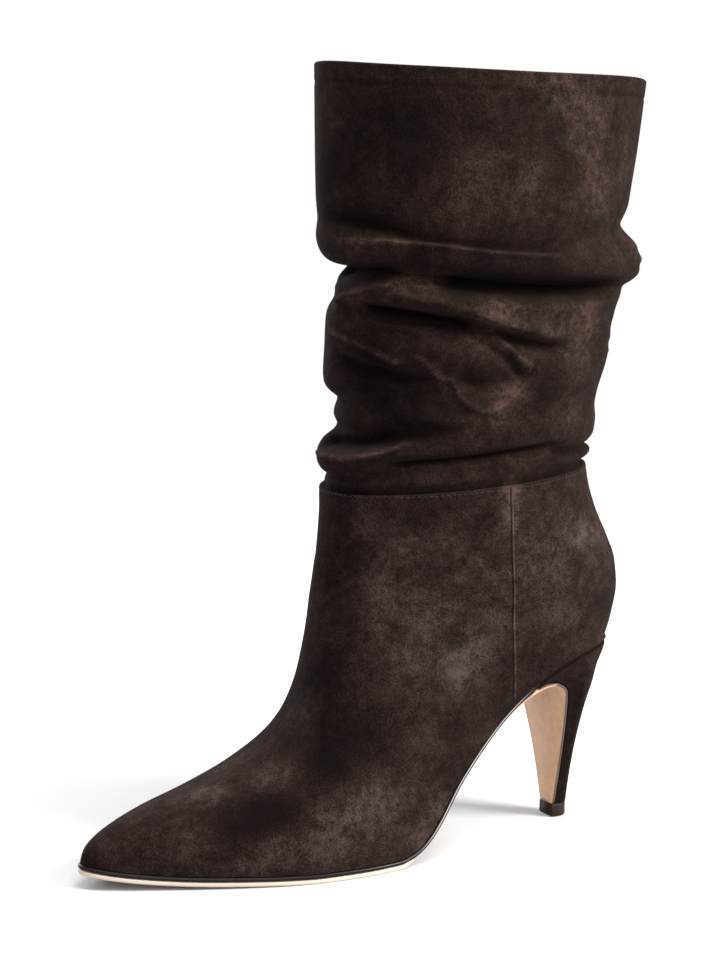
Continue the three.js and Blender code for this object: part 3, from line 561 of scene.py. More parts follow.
def leg_angle(places):
    """The angle round the shaft of places on it."""
    front, back, half = leg_oval((places[:, 2] - ANKLE_BACK_Z) / SHAFT_HEIGHT)
    return np.arctan2(places[:, 1] / half, (places[:, 0] - (front + back) / 2) / ((front - back) / 2))


def grid_faces(rows, columns, closed):
    i, j = np.meshgrid(np.arange(rows - 1), np.arange(columns if closed else columns - 1), indexing="ij")
    k = (j + 1) % columns
    quads = np.stack([i * columns + j, i * columns + k, (i + 1) * columns + k, (i + 1) * columns + j], -1)
    return quads.reshape(-1, 4)


def make_piece(name, points, faces, materials):
    """A mesh piece in metres from points in millimetres; equal points are welded."""
    mesh = bpy.data.meshes.new(name)
    mesh.from_pydata([tuple(point) for point in np.asarray(points) * MM], [], [list(face) for face in faces])
    work = bmesh.new()
    work.from_mesh(mesh)
    bmesh.ops.remove_doubles(work, verts=work.verts, dist=WELD_DISTANCE * MM)
    bmesh.ops.recalc_face_normals(work, faces=work.faces)
    work.to_mesh(mesh)
    work.free()
    mesh.polygons.foreach_set("use_smooth", [True] * len(mesh.polygons))
    for material in materials:
        mesh.materials.append(material)
    piece = bpy.data.objects.new(name, mesh)
    bpy.context.scene.collection.objects.link(piece)
    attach(piece, "root")
    return piece


def sheet(name, grid, closed, *materials):
    """A piece from a grid of points; closed: its rows are rings."""
    rows, columns = grid.shape[:2]
    return make_piece(name, grid.reshape(-1, 3), grid_faces(rows, columns, closed), materials)


def set_attribute(piece, name, read):
    """A number for each point of a piece, from its places in millimetres."""
    mesh = piece.data
    places = np.empty(len(mesh.vertices) * 3)
    mesh.vertices.foreach_get("co", places)
    values = read(places.reshape(-1, 3) / MM)
    attribute = mesh.attributes.new(name, "FLOAT", "POINT")
    attribute.data.foreach_set("value", np.asarray(values, dtype=np.float32))


# Materials

class Nodes:
    """Short calls that add and join shader nodes of one material."""

    def __init__(self, name):
        self.material = bpy.data.materials.new(name)
        self.material.use_nodes = True
        self.tree = self.material.node_tree
        self.shader = self.tree.nodes["Principled BSDF"]
        self.place = self.add("ShaderNodeTexCoord").outputs["Object"]

    def add(self, kind, **values):
        node = self.tree.nodes.new(kind)
        for key, value in values.items():
            setattr(node, key, value)
        return node

    def join(self, output, target):
        self.tree.links.new(output, target)

    def put(self, node, **values):
        for key, value in values.items():
            node.inputs[key.replace("_", " ")].default_value = value

    def set(self, **values):
        self.put(self.shader, **values)

    def give(self, socket, output):
        self.join(output, self.shader.inputs[socket])

    def noise(self, size, detail=3.0, roughness=0.55, stretch=(1, 1, 1), warp=0.0):
        """Noise with features of about this size, in millimetres."""
        mapping = self.add("ShaderNodeMapping")
        self.put(mapping, Scale=tuple(1 / (size * MM * s) for s in stretch))
        self.join(self.place, mapping.inputs["Vector"])
        node = self.add("ShaderNodeTexNoise")
        self.put(node, Scale=1, Detail=detail, Roughness=roughness, Distortion=warp)
        self.join(mapping.outputs["Vector"], node.inputs["Vector"])
        return node.outputs["Fac"]

    def math(self, operation, *values):
        node = self.add("ShaderNodeMath", operation=operation)
        for i, value in enumerate(values):
            if isinstance(value, (int, float)):
                node.inputs[i].default_value = value
            else:
                self.join(value, node.inputs[i])
        return node.outputs[0]

    def plus(self, first, second):
        return self.math("ADD", first, second)

    def times(self, first, second):
        return self.math("MULTIPLY", first, second)

    def ramp(self, value, low, high, start=0.0, end=1.0):
        node = self.add("ShaderNodeMapRange", interpolation_type="SMOOTHSTEP")
        self.join(value, node.inputs["Value"])
        self.put(node, From_Min=low, From_Max=high, To_Min=start, To_Max=end)
        return node.outputs["Result"]

    def blend(self, share, first, second):
        node = self.add("ShaderNodeMix", data_type="RGBA")
        self.join(share, node.inputs["Factor"])
        for socket, value in ((node.inputs[6], first), (node.inputs[7], second)):
            if isinstance(value, tuple):
                socket.default_value = (*value, 1)
            else:
                self.join(value, socket)
        return node.outputs[2]

    def attribute(self, name):
        return self.add("ShaderNodeAttribute", attribute_name=name).outputs["Fac"]

    def bump(self, height, distance, strength=1.0, under=None):
        node = self.add("ShaderNodeBump")
        self.put(node, Strength=strength, Distance=distance * MM)
        self.join(height, node.inputs["Height"])
        if under is not None:
            self.join(under, node.inputs["Normal"])
        return node.outputs["Normal"]


SUEDE_DARK = (0.0022, 0.00125, 0.00105)
SUEDE_MID = (0.0080, 0.0046, 0.0038)
SHAFT_LIGHT = (0.040, 0.0232, 0.0185)
FOOT_LIGHT = (0.040, 0.0262, 0.0222)
SUEDE_BASE = 0.36                 # lightness of the suede before its patches, as a share from dark to light
THREAD_TONES = ((0.013, 0.0094, 0.0082), (0.0273, 0.01974, 0.01722))
LINING_TONES = ((0.30, 0.185, 0.115), (0.42, 0.28, 0.18))
SOLE_TONES = ((0.38, 0.230, 0.138), (0.475, 0.298, 0.185))
SOLE_RAW_EDGE = (0.38, 0.318, 0.252)
SOLE_STAIN = (0.05, 0.026, 0.018)
WAX_TONES = ((0.003, 0.0022, 0.0018), (0.008, 0.0052, 0.0043))
# colour of the painted highlight line along the waxed edge of the shank
WAX_PAINTED_HIGHLIGHT = (0.42, 0.40, 0.38)
RUBBER_TONES = ((0.007, 0.0033, 0.0028), (0.015, 0.0078, 0.0066))
FLOOR_TONES = ((0.33, 0.33, 0.333), (0.34, 0.34, 0.343))


def suede(name, light, with_nap_and_painted_light=True, lift=0.0):
    """Dark brushed suede: brushed patches with painted highlights and painted shade, broken up by their
    fibres, and light specks.
    """
    n = Nodes(name)
    cloud = n.math("SUBTRACT", n.noise(15, 4, 0.62, warp=0.8), 0.5)
    mottle = n.math("SUBTRACT", n.noise(3.6, 5, 0.7), 0.5)
    speck = n.math("SUBTRACT", n.noise(0.5, 2, 0.8), 0.5)
    tone = n.plus(cloud, n.times(mottle, 0.9))
    tone = n.plus(tone, n.times(speck, 2.1))
    if with_nap_and_painted_light:
        broken = n.plus(n.times(mottle, 1.6), 0.72)
        # the attribute adds brushed patches, painted shade and painted highlights to the tone
        tone = n.plus(tone, n.times(n.attribute("nap_and_painted_light"), broken))
    tone = n.plus(tone, SUEDE_BASE + lift)
    dark_to_mid = n.blend(n.ramp(tone, -0.1, 0.45), SUEDE_DARK, SUEDE_MID)
    n.give("Base Color", n.blend(n.ramp(tone, 0.32, 1.35), dark_to_mid, light))
    fibres = n.plus(n.noise(0.34, 2, 0.6, (1, 1, 1.9)), n.times(n.noise(1.3, 3, 0.6), 0.8))
    broad = n.bump(n.noise(7, 3, 0.5), 0.6, 0.6)
    n.give("Normal", n.bump(fibres, 0.25, 0.7, broad))
    n.set(Roughness=1.0, Sheen_Weight=0.015, Sheen_Roughness=0.5, Sheen_Tint=(0.7, 0.5, 0.42, 1))
    n.set(Specular_IOR_Level=0.03)
    return n.material


def thread(name):
    n = Nodes(name)
    strand = n.noise(0.5, 2, 0.6)
    n.give("Base Color", n.blend(strand, *THREAD_TONES))
    n.give("Normal", n.bump(strand, 0.08))
    n.set(Roughness=0.8, Specular_IOR_Level=0.1)
    return n.material


def lining_leather(name):
    n = Nodes(name)
    tone = n.plus(n.times(n.noise(14, 4), 0.6), n.times(n.noise(1.1, 3), 0.4))
    n.give("Base Color", n.blend(n.ramp(tone, 0.3, 0.7), *LINING_TONES))
    n.give("Normal", n.bump(n.noise(0.8, 3, 0.6), 0.1, 0.6))
    n.set(Roughness=0.62, Specular_IOR_Level=0.35)
    return n.material


def sole_leather(name):
    """Pale tan leather of the outsole and its heel flap, with fine pores and faint streaks."""
    n = Nodes(name)
    streak = n.noise(3.2, 4, 0.6, (5, 1, 1))
    pores = n.noise(0.45, 3, 0.7)
    tone = n.plus(n.times(streak, 0.6), n.times(n.noise(11, 3), 0.4))
    base = n.blend(n.ramp(tone, 0.3, 0.72), *SOLE_TONES)
    base = n.blend(n.attribute("edge"), base, SOLE_RAW_EDGE)
    base = n.blend(n.attribute("stain"), base, SOLE_STAIN)
    n.give("Base Color", base)
    n.give("Roughness", n.ramp(pores, 0.2, 0.8, 0.38, 0.56))
    n.give("Normal", n.bump(pores, 0.06, 0.5, n.bump(streak, 0.1, 0.3)))
    n.set(Specular_IOR_Level=0.4)
    return n.material


def dark_edge(name):
    """Black-brown waxed edge, glossy along the shank and forepart and dull round the heel seat, with a
    painted highlight line along the shank.
    """
    n = Nodes(name)
    wax = n.noise(2.4, 3, 0.6, (4, 4, 1))
    base = n.blend(wax, *WAX_TONES)
    # the painted highlight is blended into the base colour
    n.give("Base Color", n.blend(n.attribute("painted_highlight"), base, WAX_PAINTED_HIGHLIGHT))
    n.give("Roughness", n.ramp(n.attribute("gloss"), 0, 1, 0.9, 0.3))
    n.give("Specular IOR Level", n.times(n.attribute("gloss"), 0.1))
    n.give("Normal", n.bump(wax, 0.05, 0.5))
    return n.material


def rubber(name):
    n = Nodes(name)
    grain = n.noise(0.7, 3, 0.7)
    n.give("Base Color", n.blend(n.ramp(grain, 0.3, 0.7), *RUBBER_TONES))
    n.give("Roughness", n.ramp(n.noise(2.5, 3), 0.2, 0.8, 0.42, 0.6))
    n.give("Normal", n.bump(grain, 0.08, 0.6))
    n.set(Specular_IOR_Level=0.12)
    return n.material


SHAFT_SUEDE = suede("shaft_suede", SHAFT_LIGHT, lift=-0.05)
FOOT_SUEDE = suede("foot_suede", FOOT_LIGHT)
HEEL_SUEDE = suede("heel_suede", FOOT_LIGHT, with_nap_and_painted_light=False, lift=-0.08)
LINING = lining_leather("lining")
SOLE = sole_leather("sole_leather")
EDGE = dark_edge("dark_edge")
RUBBER = rubber("heel_rubber")
THREAD = thread("thread")

# Patches on the outer side, brushed lighter and darker, some of them painted highlights and painted shade:
# place, reach and lightness
NAP_AND_PAINTED_LIGHT = table(
    "x y z reach light",
    (17, 44, 296, 11, 0.5), (12, 42, 277, 11, 0.42), (9, 40, 260, 9, 0.42), (34, 46, 307, 8, 0.45),
    (68, 41, 276, 7, 0.3), (47, 45, 264, 12, 0.35), (71, 40, 265, 7, 0.3), (107, 5, 291, 6, 0.3),
    (98, 23, 260, 5, 0.2), (102, 16, 246, 6, 0.5), (90, 30, 246, 6, 0.35), (68, 41, 250, 6, 0.15),
    (60, 43, 240, 11, -0.35), (36, 46, 238, 10, -0.35), (-15, 26, 240, 6, 0.2), (86, 33, 288, 15, -0.4),
    (28, 45, 274, 6, -0.3), (108, 2, 269, 7, -0.4), (101, 19, 253, 6, -0.7),
    (87, 27, 228, 6, 0.5), (77, 32, 229, 6, 0.6), (100, 12, 224, 5, 0.4), (57, 41, 219, 7, 0.35),
    (51, 42, 217, 7, 0.3), (26, 41, 211, 11, 0.38), (10, 36, 213, 9, 0.38), (12, 35, 199, 9, 0.3),
    (60, 38, 208, 6, 0.45), (40, 41, 198, 7, 0.2), (46, 41, 187, 5, 0.55), (51, 41, 183, 5, 0.75),
    (91, 20, 185, 5, 0.25), (80, 30, 187, 5, 0.2), (16, 34, 174, 8, 0.3), (84, 31, 161, 7, 0.25),
    (97, 19, 194, 9, -0.7), (84, 28, 175, 13, -0.4), (30, 40, 186, 7, -0.3), (44, 39, 163, 7, 0.25),
    (101, 16, 135, 6, 0.3), (88, 24, 125, 7, 0.5), (92, 19, 114, 7, 0.45), (94, 19, 100, 7, 0.4),
    (78, 25, 105, 8, 0.4), (71, 28, 97, 7, 0.4), (56, 30, 83, 8, 0.5), (63, 30, 75, 8, 0.6),
    (81, 27, 81, 10, 0.45), (47, 31, 96, 7, 0.35), (46, 35, 133, 5, 0.4), (68, 29, 90, 4, -0.3),
    (78, 28, 128, 7, 0.3), (6, 28, 123, 7, 0.3), (22, 33, 111, 10, 0.3), (14, 30, 91, 10, 0.35),
    (11, 31, 114, 5, -0.4), (21, 32, 102, 5, -0.3), (7, 26, 138, 7, -0.3), (110, 5, 93, 6, 0.2),
    (112, 8, 74, 9, -0.2), (149, -13, 36, 7, 0.4), (139, -15, 40, 6, 0.3), (166, -3, 31, 6, 0.5),
    (140, 10, 38, 6, 0.3), (119, 1, 58, 6, 0.3), (115, 36, 26, 11, 0.5), (126, 37, 14, 9, 0.5),
    (143, 32, 15, 7, 0.45), (103, 36, 27, 9, 0.4), (81, 33, 10, 7, 0.6), (72, 31, 21, 7, 0.4),
    (171, 18, 20, 7, 0.2), (190, 12, 15, 7, 0.15), (155, 29, 10, 7, 0.4), (156, 21, 25, 11, -0.5),
    (142, 25, 28, 10, -0.5), (118, 23, 45, 13, -0.5), (103, 26, 55, 9, -0.3),
    (84, 33, 240, 10, -0.3), (10, 30, 125, 14, 0.25), (-8, 22, 120, 12, 0.3), (35, 33, 115, 14, 0.3),
    (60, 33, 120, 12, 0.25), (44, 37, 147, 4, 1.0), (44, 37, 139, 3.5, 0.6),
)
PATCH_SHIFT = 9                     # the inner side's patches lie this much further back than the outer's
PATCH_SPREAD = 1.15


def nap_and_painted_light_patches(places):
    """How light the suede is brushed at each place, with some painted highlights and painted shade; the
    inner side repeats the outer's patches, shifted.
    """
    value = np.zeros(len(places))
    for patch in NAP_AND_PAINTED_LIGHT:
        outer = np.array([patch["x"], patch["y"], patch["z"]])
        inner = np.array([patch["x"] - PATCH_SHIFT, -patch["y"], patch["z"]])
        reach = patch["reach"] * PATCH_SPREAD
        for centre in (outer, inner):
            value += patch["light"] * bell(np.linalg.norm(places - centre, axis=1), reach)
    return value


# Foot part

RIM_BEVEL = 0.5
RIM_BEVEL_STEPS = 3
RIM_ANGLE = 55                    # degrees: only edges sharper than this are rounded


def add_edges(piece, thickness):
    """Thickens a sheet inwards, rounds its rims and shows the lining on the inside."""
    solid = piece.modifiers.new("wall", "SOLIDIFY")
    solid.thickness = thickness * MM
    solid.offset = -1
    solid.use_even_offset = False
    solid.material_offset = 1
    rim = piece.modifiers.new("rim", "BEVEL")
    rim.width = RIM_BEVEL * MM
    rim.segments = RIM_BEVEL_STEPS
    rim.limit_method = "ANGLE"
    rim.angle_limit = math.radians(RIM_ANGLE)
    graph = bpy.context.evaluated_depsgraph_get()
    mesh = bpy.data.meshes.new_from_object(piece.evaluated_get(graph))
    mesh.name = piece.data.name
    piece.modifiers.clear()
    piece.data = mesh


SEAT_PULL = 1.9
SEAT_PULL_REACH = 6
SEAT_BLEND = 0.9                  # sections over which the turn above the heel seat is softened
SEAT_PASSES = 30
SEAT_EASE = 0.5                   # share of the way to the middle of its neighbours in one pass
SEAT_FIXED = 0.97                 # the share of the half turn past which the rim stays on the seat
SEAT_END = HEEL_SECTION + 0.1


def pull_seat(points):
    """Draws the back of the heel seat in a little, so that upper and heel run on smoothly."""
    seat_back = np.array([-SEAT_BACK, 0, SEAT_Z])
    near = bell(np.linalg.norm(points - seat_back, axis=-1), SEAT_PULL_REACH)
    return points + near[..., None] * np.array([SEAT_PULL, 0, 0])


def foot_sheet():
    places = np.linspace(0, LAST_SECTION, FOOT_ROWS)
    around = np.linspace(1, -1, FOOT_COLUMNS + 1)
    grid = foot_point(places[:, None], around[None, :])
    on_rim = (places[:, None] <= SEAT_END) & (np.abs(around[None, :]) > SEAT_FIXED)
    near = bell(places - HEEL_SECTION, SEAT_BLEND)[:, None] * ~on_rim
    for _ in range(SEAT_PASSES):
        middle = (np.roll(grid, 1, 0) + np.roll(grid, -1, 0)) / 2
        grid += (middle - grid) * SEAT_EASE * near[..., None]
    return pull_seat(grid)


upper = sheet("suede_foot", foot_sheet(), False, FOOT_SUEDE, LINING)
add_edges(upper, UPPER_WALL)
# brushed patches with some painted highlights and painted shade
set_attribute(upper, "nap_and_painted_light", nap_and_painted_light_patches)
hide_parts("upper")

# Shaft

HEM_DEPTH = 6.5
HEM_GROOVE = 0.3
HEM_REACH = 0.6
HEM_SHADE = 0.2
HEM_SHADE_REACH = 0.9
EDGE_SHADE = 0.5
EDGE_SHADE_REACH = 2.5
RIM_ROWS = 24                     # rows of the outside that the turned collar covers inside
RIM_SKIP = 3
RIM_TURNS = 6
# How far the sheet's edge lies under the model's
RIM_WAVE = compass([0.8, 1.6, 1.2, 0.6, 1.4, 0.8, 0.9, 0.8])
LINING_OFFSET = 1.3
LINING_UNDER_HEM = 0.7
LAST_LEVEL = len(LEG_ROWS)
CREASES_START = (0.2, 0.7)        # the levels over which the creases set in above the foot's edge


def rim_z(angle):
    return shaft_z(collar_at(angle)) - RIM_WAVE(angle)


def shaft_sheet():
    """Outside of the shaft with its creases, which push straight outwards from the leg."""
    levels = [-TUCK, -TUCK / 2, 0]
    for i, steps in enumerate(LEG_ROWS):
        levels += [i + float(unturn(k / steps)) for k in range(1, steps + 1)]
    levels = np.array(levels)
    angle = math.pi * (2 * np.arange(RING_COLUMNS) / RING_COLUMNS - 1)
    grid = shaft_point(levels[:, None], angle[None, :])
    outward = unit(np.stack([COLLAR_WIDTH * np.cos(angle), COLLAR_LENGTH * np.sin(angle), 0 * angle], -1))
    angles = np.broadcast_to(angle[None, :], grid.shape[:2])
    grid[..., 2] -= RIM_WAVE(angles) * smoothstep(levels, LAST_LEVEL - 1, LAST_LEVEL)[:, None]
    push = crease_sum(angles, grid[..., 2], "depth")
    push -= HEM_GROOVE * bell(grid[..., 2] - rim_z(angles) + HEM_DEPTH, HEM_REACH)
    push *= smoothstep(levels, *CREASES_START)[:, None]
    return grid + outward * push[..., None], outward


def turned_rim(grid, outward, wall):
    """The sheet's edge rolled over to the inside and down, as a turned collar."""
    top = grid[-1]
    half = wall / 2
    rows = []
    for turned in np.linspace(0, math.pi, RIM_TURNS + 1)[1:]:
        inward = half * (1 - math.cos(turned))
        rows.append(top - outward * inward + np.array([0, 0, half * math.sin(turned)]))
    inner = grid[-1 - RIM_ROWS:-1:RIM_SKIP][::-1] - outward * wall
    return np.concatenate([grid, np.array(rows), inner])


def shaft_nap_and_painted_light(places):
    """Brushed patches with some painted light, the creases' painted shade and painted highlights, and
    painted shade lines under the hem and over the foot's edge.
    """
    angle = leg_angle(places)
    z = places[:, 2]
    hem = bell(z - rim_z(angle) + HEM_DEPTH, HEM_SHADE_REACH)
    at_edge = bell(z - foot_point(LAST_SECTION, -angle / math.pi)[:, 2], EDGE_SHADE_REACH)
    return nap_and_painted_light_patches(places) + crease_sum(angle, z, "tone") - HEM_SHADE * hem - EDGE_SHADE * at_edge


shaft_grid, shaft_outward = shaft_sheet()
shaft = sheet("suede_shaft", turned_rim(shaft_grid, shaft_outward, UPPER_WALL), True, SHAFT_SUEDE)
# brushed patches together with the painted shade and painted highlights of the creases, hem and foot's edge
set_attribute(shaft, "nap_and_painted_light", shaft_nap_and_painted_light)
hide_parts("shaft")

last_row = len(shaft_grid)
hem_share = smoothstep(np.arange(last_row), last_row - 2 * RIM_ROWS, last_row - RIM_ROWS - 2)
lining_inset = lerp(LINING_OFFSET, LINING_UNDER_HEM, hem_share)[:-RIM_ROWS // 2, None, None]
lining_grid = shaft_grid[:-RIM_ROWS // 2, ::LINING_STEP] - shaft_outward[::LINING_STEP] * lining_inset
lining = sheet("shaft_lining", lining_grid, True, LINING)


# Stitches and seams

def resample(points, normals, pitch):
    """Places and normals at even steps along a polyline."""
    steps = np.linalg.norm(np.diff(points, axis=0), axis=1)
    length = np.concatenate([[0], np.cumsum(steps)])
    count = max(2, int(length[-1] / pitch))
    at = (np.arange(count) + 0.5) * length[-1] / count
    places = np.stack([np.interp(at, length, points[:, k]) for k in range(3)], -1)
    outward = np.stack([np.interp(at, length, normals[:, k]) for k in range(3)], -1)
    return places, unit(outward)


STITCH_PITCH = 2.3
STITCH_LENGTH = 1.7
STITCH_RADIUS = 0.16
STITCH_LIFT = 0.03
STITCH_SIDES = 8
STITCH_STATIONS = 7
STITCH_DIP = 0.9                  # how far a stitch's ends go down, as a share of its radius
STITCH_END = 0.05                 # the least share of a stitch's section at its ends
STITCH_SECTION = LAST_SECTION - 0.15
EDGE_POINTS = 400
EDGE_START = 0.9999               # the line round the foot's edge starts just beside the back
EDGE_STEP = 0.05


def stitch_row(name, points, normals):
    """Short sewn stitches along a line on a surface, joined in one mesh."""
    centres, outward = resample(points, normals, STITCH_PITCH)
    tangent = unit(np.gradient(centres, axis=0))
    across = unit(np.cross(outward, tangent))
    around = STITCH_SIDES
    stations = np.linspace(-1, 1, STITCH_STATIONS)
    verts, faces = [], []
    for centre, t, o, a in zip(centres, tangent, outward, across):
        start = len(verts)
        for station in stations:
            thick = STITCH_RADIUS * math.sqrt(max(1 - station ** 4, STITCH_END))
            rise = STITCH_LIFT - STITCH_RADIUS * STITCH_DIP * station ** 2
            middle = centre + t * station * STITCH_LENGTH / 2 + o * rise
            for k in range(around):
                turned = 2 * math.pi * k / around
                verts.append(middle + thick * (math.cos(turned) * a + math.sin(turned) * o))
        faces += list(grid_faces(STITCH_STATIONS, around, True) + start)
        faces.append(tuple(start + k for k in reversed(range(around))))
        faces.append(tuple(start + (STITCH_STATIONS - 1) * around + k for k in range(around)))
    return make_piece(name, verts, faces, [THREAD])


def foot_line(section):
    around = np.linspace(EDGE_START, -EDGE_START, EDGE_POINTS)
    points = foot_point(section, around)
    along = foot_point(section + EDGE_STEP, around) - foot_point(section - EDGE_STEP, around)
    across = np.gradient(points, axis=0)
    return points, unit(np.cross(across, along))


ankle_stitch = stitch_row("ankle_stitch", *foot_line(STITCH_SECTION))

SEAM_TOP = (44.7, 148.6)
SEAM_BOTTOM = (36.7, 60.0)
SEAM_STEPS = 90
RAY_START = 0.2                   # metres beside the middle, well outside the foot


def surface_tree(piece):
    mesh = piece.data
    points = [vertex.co.copy() for vertex in mesh.vertices]
    return BVHTree.FromPolygons(points, [tuple(face.vertices) for face in mesh.polygons])


def side_line(tree, side):
    """The line where a plane across the foot meets its side, with the surface's normals."""
    points, normals = [], []
    for share in np.linspace(0, 1, SEAM_STEPS):
        x, z = lerp(np.array(SEAM_TOP), np.array(SEAM_BOTTOM), share)
        origin = Vector((x * MM, side * RAY_START, z * MM))
        place, normal, _, _ = tree.ray_cast(origin, Vector((0, -side, 0)))
        if place is None:
            continue
        points.append(np.array(place) / MM)
        normals.append(np.array(normal))
    return np.array(points), np.array(normals)


def ribbon(name, points, normals, profile):
    """A strip swept along a line on a surface; profile holds places across and out of it."""
    tangent = unit(np.gradient(points, axis=0))
    across = unit(np.cross(normals, tangent))
    verts = []
    for point, out, side in zip(points, normals, across):
        verts += [point + side * a + out * b for a, b in profile]
    count = len(profile)
    faces = list(grid_faces(len(points), count, True))
    faces.append(tuple(range(count)))
    faces.append(tuple(len(verts) - 1 - k for k in range(count)))
    return make_piece(name, verts, faces, [FOOT_SUEDE])


foot_tree = surface_tree(upper)
SEAM_PROFILE = ((-0.5, -0.3), (-0.42, 0.06), (-0.2, 0.24), (0.15, 0.26), (0.42, 0.1), (0.55, -0.3))
SHADE_PROFILE = ((-0.95, -0.2), (-0.85, 0.03), (-0.5, 0.05), (-0.45, -0.2))
# The seam strip is painted lighter, a painted highlight on its raised ridge; the shade strip beside it is
# painted shade.
SEAM_PAINTED_HIGHLIGHT = 0.75
SHADE_TONE = -0.6
SEAM_PATCH_SHARE = 0.5                    # share of the foot's brushed patches that the seam shows
for side, label in ((1, "outer"), (-1, "inner")):
    seam_line = side_line(foot_tree, side)
    for name, profile, tone in (
            ("_side_seam", SEAM_PROFILE, SEAM_PAINTED_HIGHLIGHT), ("_seam_shade", SHADE_PROFILE, SHADE_TONE)):
        seam = ribbon(label + name, *seam_line, profile)
        set_attribute(seam, "nap_and_painted_light", lambda places: nap_and_painted_light_patches(places) * SEAM_PATCH_SHARE + tone)

# Sole layers

def ring_of(outer, inner):
    """A closed loop from both sides of a layer."""
    return np.concatenate([outer, inner[::-1]])


def plate(margin, layers):
    """A layer of the sole from loops at several heights; each loop is (height, extra margin)."""
    angle = np.linspace(1, 0, PLATE_STEPS)
    loops = []
    for height, extra in layers:
        edge = margin(unturn(angle)) + extra
        outer = sole_point(angle, 1, edge, height)
        inner = sole_point(angle, -1, edge, height)
        loops.append(pull_seat(ring_of(outer, inner)))
    return loops


def loft(name, loops, material):
    """A closed solid from loops, bottom first, with both ends closed by strips across."""
    count = len(loops[0])
    points = np.concatenate(loops)
    faces = [list(face) for face in grid_faces(len(loops), count, True)]
    half = count // 2
    for start, flip in ((0, False), ((len(loops) - 1) * count, True)):
        for i in range(half - 1):
            quad = [start + i, start + i + 1, start + count - 2 - i, start + count - 1 - i]
            faces.append(quad[::-1] if flip else quad)
    return make_piece(name, points, faces, [material])


def round_edge(low, high, depth):
    """Heights and margins of a half-round edge between two heights."""
    middle, reach = (low + high) / 2, (high - low) / 2
    turned = np.linspace(-math.pi / 2, math.pi / 2, EDGE_STEPS)
    return [(middle + reach * math.sin(t), depth * (math.cos(t) - 1)) for t in turned]


def midsole_margin(along):
    seat = 1 - smoothstep(along, HEEL_FRONT, SHANK_FULL)
    return lerp(MIDSOLE_MARGIN, HEEL_MARGIN, seat)


WAX_ROUND = 0.7
GLOSS_SPAN = (0.17, 0.27)
# where and how wide the painted highlight line runs along the waxed edge
HIGHLIGHT_SPAN = (0.19, 0.25, 0.40, 0.46)
HIGHLIGHT_LIFT = 0.3
HIGHLIGHT_REACH = 0.13
HIGHLIGHT_FULL = 0.8
midsole = loft("waxed_edge", plate(midsole_margin, round_edge(LAYER_TOP + GAP, -GAP, WAX_ROUND)), EDGE)


def gloss_share(places):
    """1 along the shank and the forepart, 0 round the heel seat."""
    return smoothstep(along_at(places[:, 0]), *GLOSS_SPAN)


def over_feather(places):
    """How far along the sole places lie, and how high over the feather line, square to it."""
    along = along_at(places[:, 0])
    return along, (places[:, 2] - feather_z(along)) / np.hypot(1, feather_slope(along))


def painted_highlight_share(places):
    """1 on the painted highlight, a thin bright line in the middle of the waxed edge, along the shank only.
    """
    along, height = over_feather(places)
    line = bell(height - LAYER_TOP / 2 - HIGHLIGHT_LIFT, HIGHLIGHT_REACH)
    return HIGHLIGHT_FULL * line * rise_and_fall(along, *HIGHLIGHT_SPAN)


set_attribute(midsole, "gloss", gloss_share)
set_attribute(midsole, "painted_highlight", painted_highlight_share)
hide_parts("midsole")

# Heel

HEEL_RINGS = table(
    "number front frontRise back backRise half",
    (0, 1, 1, 1, 1, 1),
    (1, 0.677, 1.025, 0.75, 0.942, 0.93),
    (2, 0.397, 0.991, 0.576, 0.884, 0.88),
    (3, 0.207, 0.925, 0.444, 0.798, 0.79),
    (4, 0.121, 0.795, 0.305, 0.682, 0.64),
    (5, 0.060, 0.609, 0.179, 0.538, 0.47),
    (6, 0.022, 0.395, 0.073, 0.35, 0.29),
    (7, 0.004, 0.173, 0.014, 0.147, 0.125),
    (8, 0, 0, 0, 0, 0),
)
HEEL_END = float(turn(HEEL_FRONT))
HEEL_TIP_Z = TOP_PIECE_THICKNESS + GAP
HEEL_TIP_FRONT = TIP_LENGTH / 2 - FLAP_THICKNESS - GAP
ring_curve = curves(HEEL_RINGS, "number")
LAST_RING = HEEL_RINGS[-1]["number"]


def ring_side(side, back_x, front_x, half, steps):
    """One side of a D-shaped ring, from the round back to the front corner."""
    straight = HEEL_STRAIGHT * (front_x - back_x)
    t = np.linspace(0, 1, steps + 1)
    bend = np.minimum(t / HEEL_BEND_SHARE, 1) * math.pi / 2
    run = np.maximum((t - HEEL_BEND_SHARE) / (1 - HEEL_BEND_SHARE), 0)
    x = back_x + (front_x - straight - back_x) * (1 - np.cos(bend)) + straight * run
    return x, side * half * np.sin(bend) * (1 - BREAST_NARROWING * run)


def heel_ring(number):
    """Both sides of one ring of the heel; number 0 lies on the seat."""
    seat_back = sole_point(0, 1, HEEL_MARGIN, LAYER_TOP)
    seat_front = sole_point(HEEL_END, 1, HEEL_MARGIN, LAYER_TOP)
    seat_half = float(half_width(HEEL_WIDEST, 1))
    read = {name: float(ring(number)) for name, ring in ring_curve.items()}
    front_x = lerp(HEEL_TIP_FRONT, seat_front[0], read["front"])
    front_z = lerp(HEEL_TIP_Z, seat_front[2], read["frontRise"])
    back_x = lerp(-TIP_LENGTH / 2, seat_back[0], read["back"])
    back_z = lerp(HEEL_TIP_Z, seat_back[2], read["backRise"])
    half = lerp(TIP_WIDTH / 2, seat_half, read["half"])
    sides = []
    for side in (1, -1):
        x, y = ring_side(side, back_x, front_x, half, HEEL_SIDE_STEPS)
        z = lerp(back_z, front_z, (x - back_x) / (front_x - back_x))
        free = np.stack([x, y, z], -1)
        around = HEEL_END * np.linspace(0, 1, HEEL_SIDE_STEPS + 1)
        on_seat = sole_point(around, side, HEEL_MARGIN, LAYER_TOP)
        seat_share = 1 - smoothstep(number, 0, 1)
        sides.append(lerp(free, on_seat, seat_share))
    return sides


